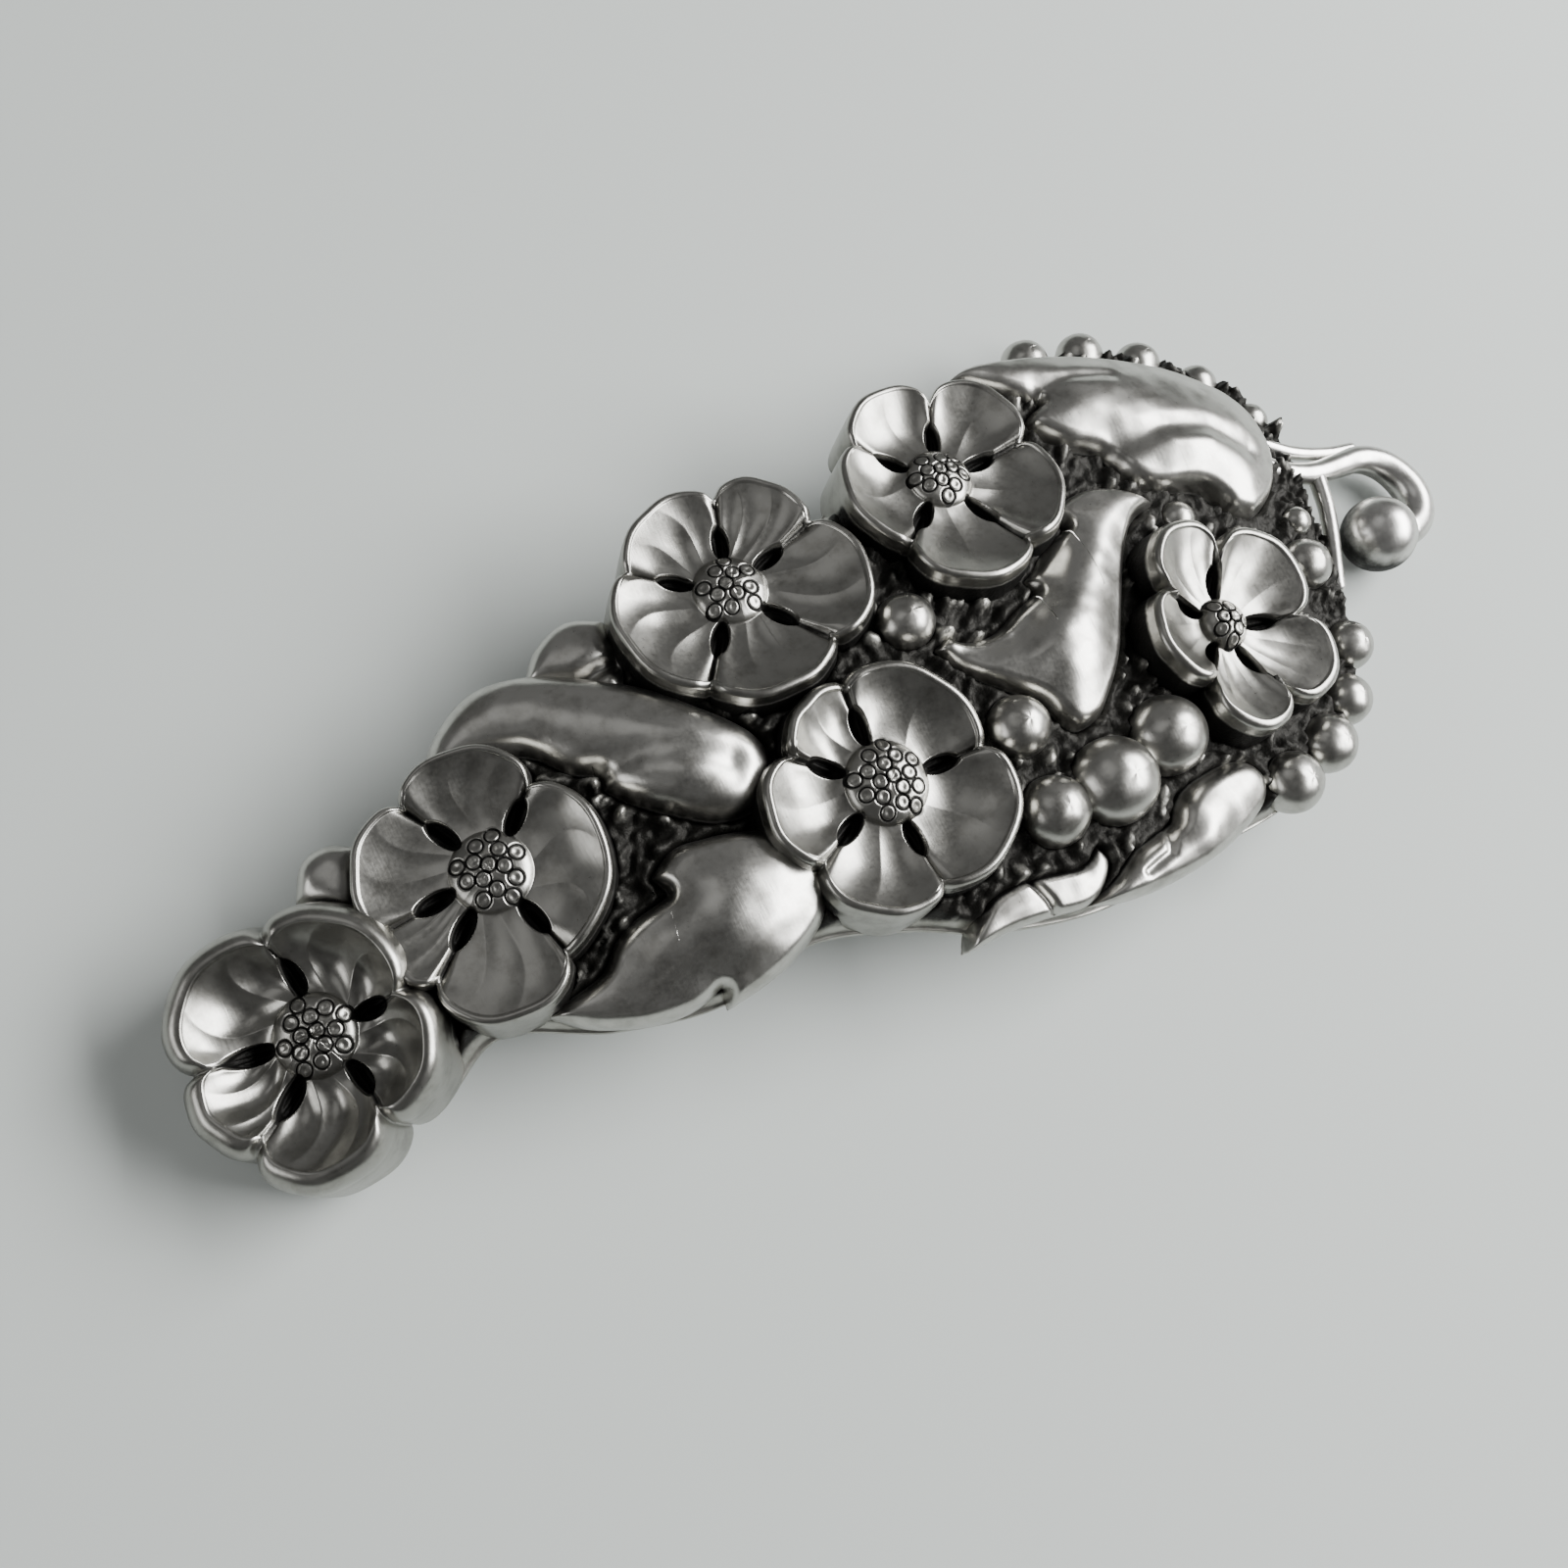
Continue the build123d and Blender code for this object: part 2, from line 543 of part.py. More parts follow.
# ---- catch rotor: a slit drum with a thumb lever --------------------------------------------------------
with BuildPart() as catch_rotor:
    with BuildSketch(catch_axis):
        Circle(CHEEK_BORE)
    extrude(amount=catch_half, both=True)
    with BuildSketch(catch_axis):
        Circle(ROTOR_RADIUS)
        with PolarLocations((LEVER_REACH + 0.8) / 2, 1, start_angle=LEVER_ANGLE - 90):
            SlotOverall(LEVER_REACH - 0.8, LEVER_THICKNESS)
    extrude(amount=ROTOR_WIDTH / 2, both=True)
    with BuildSketch(catch_axis):
        Circle(ROTOR_BORE)
        with Locations((0, -1)):
            Rectangle(2 * ROTOR_BORE, 2)
    extrude(amount=3, both=True, mode=Mode.SUBTRACT)
finish(catch_rotor, "catch_rotor")

# ---- export ---------------------------------------------------------------------------------------------
os.makedirs("parts", exist_ok=True)
to_middle = Location((-MIDDLE[0], -MIDDLE[1], 0))
for piece in finished:
    centred = piece.moved(to_middle)
    centred.label = piece.label
    export_step(centred, f"parts/{piece.label}.step")
print(len(finished), "pieces,", round(sum(piece.volume for piece in finished)), "cubic millimetres")
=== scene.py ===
"""Antiqued silver spray brooch: chased flowers, leaves, berries and a curled stem on a domed back plate.

Lengths are in millimetres until a mesh is made, and are measured from the point under the dome's crown, on the
surface that the brooch rests on. Making a mesh moves them to the frame's origin and turns them into metres.
"""

import math

import bpy
import numpy as np
from bpy.props import FloatProperty, FloatVectorProperty, PointerProperty
from mathutils import Matrix, Vector


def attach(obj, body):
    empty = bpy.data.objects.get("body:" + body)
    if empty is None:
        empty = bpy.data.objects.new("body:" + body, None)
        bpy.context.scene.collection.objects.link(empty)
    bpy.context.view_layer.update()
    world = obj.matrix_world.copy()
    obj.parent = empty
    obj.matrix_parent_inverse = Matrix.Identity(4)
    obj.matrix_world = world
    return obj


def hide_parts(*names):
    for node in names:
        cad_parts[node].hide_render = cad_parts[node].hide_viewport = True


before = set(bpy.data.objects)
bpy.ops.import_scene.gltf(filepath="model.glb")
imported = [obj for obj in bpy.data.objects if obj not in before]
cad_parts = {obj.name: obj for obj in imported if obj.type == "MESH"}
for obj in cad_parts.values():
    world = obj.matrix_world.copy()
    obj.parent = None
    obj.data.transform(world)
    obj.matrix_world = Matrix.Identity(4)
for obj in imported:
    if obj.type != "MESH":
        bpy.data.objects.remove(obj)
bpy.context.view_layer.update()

bl_info = {
    "name": "Silver spray brooch",
    "version": (1, 0, 0),
    "blender": (4, 5, 0),
    "location": "3D View > Sidebar > Brooch",
    "description": "Chased flowers, leaves and berries in antiqued silver, on a domed back plate",
    "category": "Add Mesh",
}

MM = 0.001
BOW_ALONG = 130.0
BOW_ACROSS = 75.0
CROWN_HEIGHT = 8.15
MIDDLE = np.array((2.34, 0.2, 0.0))
PLATE_THICKNESS = 0.9
SUNK = 0.35  # how far the foot of each applied piece reaches into the plate

# Petals, anticlockwise: angle of the slot before the petal, rim radius there, and rim radius at its middle.
FLOWERS = {
    "tip_flower": dict(
        centre=(-35.5, -4.4), shift=(0.9, 0.0),
        petals=[(-2, 6.3, 7.6), (83, 6.3, 7.4), (170, 5.8, 7.0), (224, 6.3, 7.9), (293, 6.5, 8.0)],
        rim=3.9, valley=2.2, swell=1.7, cup=0.45, flutes=2.5, scoop=0.3, skew=0.7, shoulder=(1.1, 1.7),
        boss=(2.3, 0.85), rings=14, slot=(2.45, 1.12), lap=0.10, turn=20.0,
    ),
    "second_flower": dict(
        centre=(-23.4, -1.2), shift=(0.2, 0.2),
        petals=[(41, 5.4, 7.3), (115, 6.1, 7.4), (182, 6.5, 7.1), (219, 6.2, 8.0), (288, 6.2, 6.6)],
        rim=3.2, valley=2.45, swell=1.4, cup=0.12, flutes=3.0, scoop=0.08, skew=0.5, shoulder=(0.3, 0.35),
        boss=(2.3, 0.8), rings=14, slot=(2.45, 1.12), lap=0.12, turn=75.0,
    ),
    "upper_flower": dict(
        centre=(-4.3, 7.8), shift=(0.0, 0.1),
        petals=[(18, 6.8, 7.6), (72, 5.9, 6.9), (146, 6.2, 7.4), (232, 6.4, 7.5), (306, 6.7, 8.3)],
        rim=3.1, valley=2.25, swell=1.3, cup=0.15, flutes=3.0, scoop=0.12, skew=-0.5, shoulder=(0.32, 0.35),
        boss=(2.2, 0.85), rings=12, slot=(2.4, 1.1), lap=-0.12, turn=140.0,
    ),
    "lower_flower": dict(
        centre=(-1.7, -5.9), shift=(0.0, 0.0),
        petals=[(-5, 6.2, 7.0), (88, 6.0, 6.7), (142, 5.9, 7.6), (205, 6.3, 8.0), (270, 6.7, 7.8)],
        rim=3.2, valley=2.1, swell=1.4, cup=0.35, flutes=2.0, scoop=0.13, skew=0.3, shoulder=(0.4, 0.45),
        boss=(2.5, 1.0), rings=17, slot=(2.4, 1.1), lap=0.16, turn=30.0,
    ),
    "crown_flower": dict(
        centre=(11.1, 9.5), shift=(0.1, 0.1),
        petals=[(4, 6.6, 8.0), (65, 5.4, 7.1), (135, 5.6, 6.6), (219, 5.8, 8.0), (294, 6.6, 7.9)],
        rim=3.2, valley=2.3, swell=1.4, cup=0.35, flutes=2.0, scoop=0.08, skew=0.4, shoulder=(0.35, 0.4),
        boss=(2.1, 0.9), rings=12, slot=(2.5, 1.12), lap=-0.14, turn=95.0,
    ),
    "raised_flower": dict(
        centre=(23.9, -5.6), shift=(-0.5, 0.2),
        petals=[(-15, 4.8, 6.9), (72, 4.7, 7.4), (139, 4.9, 6.6), (216, 4.8, 7.5), (278, 4.7, 7.5)],
        rim=3.9, valley=2.5, swell=1.2, cup=0.3, flutes=3.0, scoop=0.07, skew=0.2, shoulder=(0.5, 0.5),
        boss=(1.7, 1.2), rings=8, slot=(2.45, 1.12), lap=0.12, turn=10.0,
    ),
}

# Leaves: the two edges from root to tip (a point given twice is a sharp corner), the height of the crown, the
# width of the rounded shoulder, creases as (points, width, depth), and soft swells as (place, size, height).
LEAVES = {
    "curled_leaf": dict(
        left=[(-24.6, 5.2), (-23.7, 7.0), (-22.0, 8.4), (-20.2, 9.2), (-18.4, 9.2), (-16.1, 8.5),
              (-13.9, 7.2), (-11.9, 5.8), (-10.3, 4.4), (-9.0, 2.9), (-7.7, 1.4), (-6.8, 0.0),
              (-6.5, -1.4), (-6.7, -2.6)],
        right=[(-24.6, 5.2), (-23.4, 4.6), (-21.0, 4.6), (-18.8, 3.8), (-17.3, 2.0), (-16.0, 1.2),
               (-16.0, 1.2), (-16.2, 0.4), (-16.2, 0.4), (-15.0, -1.1), (-13.2, -2.7), (-11.3, -4.0),
               (-9.3, -4.4), (-8.1, -3.9), (-6.7, -2.6)],
        crown=3.2, shoulder=1.5,
        creases=[([(-15.4, 1.4), (-13.4, 1.2), (-11.2, 0.2), (-9.4, -1.2)], 0.9, 0.35)],
        swells=[((-11.6, -0.6), 3.0, 0.7)],
    ),
    "fan_leaf": dict(
        left=[(-24.2, -9.0), (-22.4, -8.6), (-20.4, -8.2), (-19.0, -7.0), (-17.5, -6.4), (-15.5, -6.1),
              (-15.5, -6.1), (-16.1, -4.9), (-16.1, -4.9), (-14.1, -3.9), (-12.2, -4.1), (-10.5, -4.5),
              (-8.8, -5.2), (-7.6, -6.3), (-7.1, -7.8), (-7.0, -9.6)],
        right=[(-24.2, -9.0), (-22.4, -10.6), (-20.2, -11.7), (-18.2, -12.3), (-16.4, -12.4),
               (-14.9, -12.0), (-14.9, -12.0), (-15.0, -13.2), (-15.0, -13.2), (-12.5, -12.9),
               (-10.3, -12.3), (-8.2, -11.2), (-7.0, -9.6)],
        crown=3.1, shoulder=1.0,
        creases=[([(-22.0, -9.8), (-18.0, -10.0), (-15.0, -9.4)], 0.9, 0.12)],
        swells=[((-13.0, -8.6), 3.4, 0.8)],
    ),
    "centre_leaf": dict(
        left=[(5.0, 0.1), (6.2, 0.6), (6.2, 0.6), (7.5, -0.2), (9.2, -0.3), (10.8, 0.3), (12.9, 1.0),
              (12.9, 1.0), (12.7, 1.9), (12.7, 1.9), (13.8, 2.4), (15.4, 3.4), (17.3, 4.1), (17.3, 4.1),
              (16.4, 5.2), (16.4, 5.2), (19.4, 6.1), (22.0, 5.7), (25.2, 3.6)],
        right=[(5.0, 0.1), (5.4, -0.9), (6.6, -2.6), (8.0, -4.0), (9.5, -5.4), (10.0, -6.8), (10.9, -7.8),
               (12.6, -7.7), (13.9, -6.8), (15.6, -5.2), (17.2, -3.2), (19.0, -0.8), (21.0, 1.6),
               (22.8, 3.0), (25.2, 3.6)],
        crown=3.3, shoulder=0.9,
        creases=[([(6.6, -1.0), (9.6, -1.6), (12.6, 0.2), (15.2, 2.6)], 1.1, 0.45)],
        swells=[((12.8, -2.4), 3.5, 0.7)],
    ),
    "crown_leaf": dict(
        left=[(16.0, 16.4), (18.0, 17.0), (20.9, 16.8), (24.2, 16.1), (27.7, 15.0), (31.2, 13.4),
              (34.4, 11.2), (36.3, 8.8), (36.8, 6.3), (36.2, 4.0), (34.6, 1.9), (33.1, 0.9), (31.4, 0.4)],
        right=[(16.0, 16.4), (18.1, 15.0), (19.7, 13.8), (21.4, 12.7), (21.4, 12.7), (20.2, 12.3),
               (19.5, 11.4), (20.1, 10.3), (21.3, 9.0), (23.2, 7.8), (23.6, 6.1), (24.4, 4.9), (26.0, 4.1),
               (28.2, 3.4), (29.2, 2.4), (29.8, 1.2), (31.4, 0.4)],
        crown=3.5, shoulder=0.9,
        creases=[([(24.0, 7.8), (27.4, 7.6), (30.6, 6.6), (33.0, 4.6)], 0.9, 0.35),
                 ([(21.4, 13.4), (23.8, 13.2), (26.6, 12.4)], 0.5, 0.2)],
        swells=[((29.2, 5.6), 3.0, 0.6)],
    ),
    "edge_leaf": dict(
        left=[(6.7, -17.1), (8.6, -16.3), (10.9, -15.2), (12.5, -14.9), (13.9, -14.7), (13.9, -14.7),
              (14.7, -13.8), (15.9, -13.2), (17.7, -12.9), (19.9, -12.9), (21.3, -13.4), (22.1, -14.7)],
        right=[(6.7, -17.1), (9.2, -17.8), (11.5, -18.1), (14.2, -18.1), (16.9, -17.8), (19.5, -17.1),
               (21.3, -16.2), (22.1, -14.7)],
        crown=2.9, shoulder=1.1, creases=[([(13.4, -15.0), (12.6, -16.2), (10.8, -16.6)], 0.3, 0.25)],
        swells=[((15.6, -15.8), 2.4, 0.5)],
    ),
    "thorn_leaf": dict(
        left=[(-1.3, -16.4), (-0.7, -15.4), (0.3, -14.6), (1.4, -14.0), (3.6, -13.9), (5.9, -14.4),
              (7.5, -14.6), (8.9, -13.8)],
        right=[(-1.3, -16.4), (0.1, -16.4), (1.7, -16.4), (4.2, -16.7), (6.7, -17.1), (8.2, -16.6),
               (9.4, -15.2), (8.9, -13.8)],
        crown=2.1, shoulder=0.7, creases=[([(3.9, -14.2), (4.4, -15.6), (4.6, -16.6)], 0.25, 0.5)],
        swells=[],
    ),
    "tip_bud": dict(
        left=[(-33.4, 2.6), (-32.2, 4.6), (-30.5, 5.0), (-28.9, 4.1)],
        right=[(-33.4, 2.6), (-32.2, 1.5), (-30.6, 0.4), (-29.3, 1.6), (-28.9, 4.1)],
        crown=2.6, shoulder=1.2, creases=[], swells=[],
    ),
    "side_bud": dict(
        left=[(-17.4, 8.0), (-15.8, 10.0), (-13.4, 10.9), (-11.2, 10.0)],
        right=[(-17.4, 8.0), (-14.8, 6.6), (-12.6, 4.8), (-11.2, 7.4), (-11.2, 10.0)],
        crown=2.6, shoulder=1.2, creases=[([(-16.6, 7.2), (-14.4, 6.8), (-12.0, 7.0)], 0.5, 0.7)], swells=[],
    ),
    "tip_sepal": dict(
        left=[(-30.6, -4.2), (-29.2, -4.6), (-28.2, -5.8), (-28.6, -7.4)],
        right=[(-30.6, -4.2), (-29.4, -6.4), (-28.6, -7.4)],
        crown=1.9, shoulder=1.0, creases=[], swells=[],
    ),
}

# Berries in the order of their nodes: place, radius, and how far the middle stands above the plate.
BERRIES = [
    ((4.3, 2.2), 1.70, 1.65),
    ((7.4, -6.1), 1.85, 1.65),
    ((7.0, -11.3), 2.07, 1.65),
    ((11.4, -11.2), 2.60, 1.75),
    ((16.2, -10.1), 2.39, 1.75),
    ((25.9, 2.2), 1.17, 1.25),
    ((33.6, -3.6), 1.70, 1.45),
    ((35.2, -0.6), 1.01, 1.35),
    ((33.6, -9.5), 1.59, 1.35),
    ((31.1, -12.6), 1.64, 1.35),
    ((27.9, -14.6), 1.85, 1.35),
    ((23.8, -15.8), 1.91, 1.35),
    ((24.0, 17.0), 1.53, 0.55),
    ((28.5, 16.4), 1.53, 0.55),
    ((32.5, 14.5), 1.53, 0.55),
    ((36.1, 11.7), 1.38, 0.55),
    ((38.3, 7.8), 1.25, 0.55),
]

PLATE_LEFT = [
    (-40.9, -5.8), (-40.2, -1.6), (-38.0, 0.8), (-34.6, 1.8), (-31.2, 3.6), (-27.6, 4.2), (-24.4, 5.0),
    (-22.6, 7.0), (-19.6, 7.6), (-16.6, 7.3), (-13.6, 9.3), (-10.4, 10.2), (-7.6, 13.6), (-2.0, 13.8),
    (2.4, 11.0), (5.0, 11.8), (9.0, 15.7), (14.6, 15.4), (19.0, 16.8), (24.4, 17.6), (31.8, 15.9),
    (37.0, 12.4), (39.2, 7.8), (37.8, 1.0),
]
PLATE_RIGHT = [
    (-40.9, -5.8), (-40.0, -9.0), (-37.6, -11.4), (-34.4, -10.4), (-30.6, -10.4), (-26.6, -8.8),
    (-21.0, -11.4), (-15.0, -12.8), (-9.2, -12.0), (-3.6, -13.8), (1.0, -16.0), (8.0, -17.7), (16.0, -17.5),
    (24.6, -17.0), (31.0, -14.0), (34.4, -10.4), (36.0, -5.2), (37.8, 1.0),
]

STEM_TILT = math.radians(9.0)
STEM_ROOT = (35.4, 5.2)
STEM_LIFT = 0.75
BALL_RADIUS = 2.6

# The camera, about the middle of the face that it looks at.
LOOK_AT = (-6.5, -3.25)
CAMERA_DISTANCE = 95.0
CAMERA_TILT = math.radians(22.2)  # away from looking straight down
CAMERA_BEARING = math.radians(59.5)
CAMERA_ROLL = math.radians(26.5)
LENS = 38.25


# ---- shapes ---------------------------------------------------------------------------------------------
def step(low, high, value):
    """0 below low, 1 above high, and 3t^2 - 2t^3 between, where t is the share of the way."""
    t = np.clip((value - low) / (high - low), 0.0, 1.0)
    return t * t * (3.0 - 2.0 * t)


def bell(distance, width):
    """e to the minus (distance over width) squared."""
    return np.exp(-((distance / width) ** 2))


def ripples(x, y, size, seed):
    """The mean of sixteen plane waves of seeded headings, with wavelengths from 0.7 to 1.6 of size."""
    source = np.random.default_rng(seed)
    heading = source.uniform(0, 2 * np.pi, 16)
    phase = source.uniform(0, 2 * np.pi, 16)
    rate = 2 * np.pi / (size * source.uniform(0.7, 1.6, 16))
    along = x[..., None] * np.cos(heading) + y[..., None] * np.sin(heading)
    return np.sin(along * rate + phase).mean(axis=-1) * 2.0


def dome_frame(x, y):
    """The plate's top over (x, y) and its normal, where the top is an arc of BOW_ACROSS about the X direction,
    turned about a line along Y that lies BOW_ALONG under the crown."""
    across = np.arcsin(y / BOW_ACROSS)
    reach = BOW_ALONG - BOW_ACROSS + BOW_ACROSS * np.cos(across)
    along = np.arcsin(x / reach)
    normal = np.stack(
        [np.cos(across) * np.sin(along), np.sin(across), np.cos(across) * np.cos(along)], axis=-1
    )
    foot = np.stack([x + 0 * y, y + 0 * x, CROWN_HEIGHT - BOW_ALONG + reach * np.cos(along)], axis=-1)
    return foot, normal, along


def on_dome(x, y, lift):
    """Points at a height over the plate, along its normal."""
    foot, normal, _ = dome_frame(x, y)
    return foot + normal * np.asarray(lift)[..., None]


def seated(centre, x, y, z):
    """Points given in a seat's own axes: its Z is the dome's normal at centre, and its X runs along the bow."""
    foot, normal, along = dome_frame(np.float64(centre[0]), np.float64(centre[1]))
    x_dir = np.array([np.cos(along), 0.0, -np.sin(along)])
    y_dir = np.cross(normal, x_dir)
    return foot + x[..., None] * x_dir + y[..., None] * y_dir + z[..., None] * normal


def edge_line(points, count):
    """Catmull-Rom curves through the points, broken where a point is given twice, at equal steps of length."""
    strokes = [[points[0]]]
    for before, point in zip(points, points[1:]):
        if before == point:
            strokes.append([point])
        else:
            strokes[-1].append(point)
    parts = []
    for stroke in strokes:
        p = np.array(stroke, float)
        padded = np.vstack([2 * p[0] - p[1], p, 2 * p[-1] - p[-2]])
        t = np.linspace(0, 1, 24, endpoint=False)[None, :, None]
        a, b, c, d = (padded[i : len(p) - 1 + i, None, :] for i in range(4))
        curve = b + 0.5 * t * (c - a + t * (2 * a - 5 * b + 4 * c - d + t * (3 * (b - c) + d - a)))
        parts += [curve.reshape(-1, 2), p[-1:]]
    line = np.vstack(parts)
    length = np.concatenate([[0], np.cumsum(np.linalg.norm(np.diff(line, axis=0), axis=1))])
    at = np.linspace(0, length[-1], count)
    return np.stack([np.interp(at, length, line[:, 0]), np.interp(at, length, line[:, 1])], axis=-1)


def distance_to(line, x, y):
    """The distance from each point to the nearest of a line's segments."""
    nearest = np.full(x.shape, 1e9)
    for (x0, y0), (x1, y1) in zip(line, line[1:]):
        dx, dy = x1 - x0, y1 - y0
        share = np.clip(((x - x0) * dx + (y - y0) * dy) / (dx * dx + dy * dy), 0, 1)
        nearest = np.minimum(nearest, np.hypot(x - x0 - share * dx, y - y0 - share * dy))
    return nearest


def closed_skin(name, rows, patina_and_shade):
    """A mesh of rings of points, whose first and last rings are drawn together into single points. The rings
    are turned round if the volume inside them comes out negative, so that the faces point outwards."""
    rows = (rows - MIDDLE) * MM
    ring, after = rows[:-1], np.roll(rows[:-1], -1, axis=1)
    centre = rows.reshape(-1, 3).mean(axis=0)
    volume = np.einsum("ijk,ijk->", ring - centre, np.cross(rows[1:] - centre, after - centre))
    if volume < 0:
        rows, patina_and_shade = rows[:, ::-1], patina_and_shade[:, ::-1]
    count, around = rows.shape[:2]
    points = np.vstack([rows[0].mean(axis=0), rows[1:-1].reshape(-1, 3), rows[-1].mean(axis=0)])
    index = 1 + np.arange((count - 2) * around).reshape(count - 2, around)
    beside = np.roll(index, -1, axis=1)
    quads = np.stack([index[:-1], index[1:], beside[1:], beside[:-1]], axis=-1).reshape(-1, 4)
    start = np.stack([np.zeros(around, int), index[0], beside[0]], axis=-1)
    end = np.stack([index[-1], np.full(around, len(points) - 1), beside[-1]], axis=-1)
    mesh = bpy.data.meshes.new(name)
    mesh.from_pydata(points.tolist(), [], start.tolist() + quads.tolist() + end.tolist())
    mesh.polygons.foreach_set("use_smooth", np.ones(len(mesh.polygons), bool))
    # This attribute holds the oxide in the hollows, and also painted shade at the feet of the walls and under
    # the stem ball.
    shade = mesh.attributes.new("patina_and_shade", "FLOAT", "POINT")
    tone = np.concatenate([[patina_and_shade[0].mean()], patina_and_shade[1:-1].ravel(), [patina_and_shade[-1].mean()]])
    shade.data.foreach_set("value", np.clip(tone, 0, 1).astype(np.float32))
    mesh.update()
    piece = bpy.data.objects.new(name, mesh)
    bpy.context.scene.collection.objects.link(piece)
    return piece


def place(piece, material, node):
    """Gives a piece its finish and its body, and hides the CAD part that it stands for."""
    piece.data.materials.append(material)
    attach(piece, "spray")
    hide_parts(node)


def gap_to(outline, x, y):
    """The distance from each point to a closed outline. It is negative inside, where a ray from the point
    crosses the outline an odd number of times."""
    crossings = np.zeros(x.shape, bool)
    for (x0, y0), (x1, y1) in zip(outline, np.roll(outline, -1, axis=0)):
        if y0 != y1:
            crossings ^= ((y0 > y) != (y1 > y)) & (x < (x1 - x0) * (y - y0) / (y1 - y0) + x0)
    away = distance_to(np.vstack([outline, outline[:1]]), x, y)
    return np.where(crossings, -away, away)


def plate_outline(count):
    """The outline of the back plate, up one edge and back down the other."""
    return np.vstack([edge_line(PLATE_LEFT, count), edge_line(PLATE_RIGHT, count)[-2:0:-1]])


def within_plate(x, y):
    """0 on the filed edge of the plate and past it, where the silver is clean, and 1 from 1.5 mm inside."""
    return step(0.3, 1.5, -gap_to(plate_outline(120), x, y))


def petal_outline(petals, theta):
    """For each angle: the rim's radius, the place across its petal from -1 to 1, and the petal's half angle.
    Between its slots a rim runs from notch to notch, plus a bulge of (1 - |a|^2.3)^0.6."""
    radius, across, half = (np.zeros_like(theta) for _ in range(3))
    for (start, notch, rim), (end, next_notch, _) in zip(petals, petals[1:] + petals[:1]):
        width = math.radians((end - start) % 360)
        share = ((theta - math.radians(start)) % (2 * np.pi)) / width
        a = 2 * share - 1
        foot = notch + (next_notch - notch) * share
        bulge = foot + (rim - foot) * np.clip(1 - np.abs(a) ** 2.3, 0, 1) ** 0.6
        inside = share < 1
        radius = np.where(inside, bulge, radius)
        across = np.where(inside, a, across)
        half = np.where(inside, width / 2, half)
    return radius, across, half


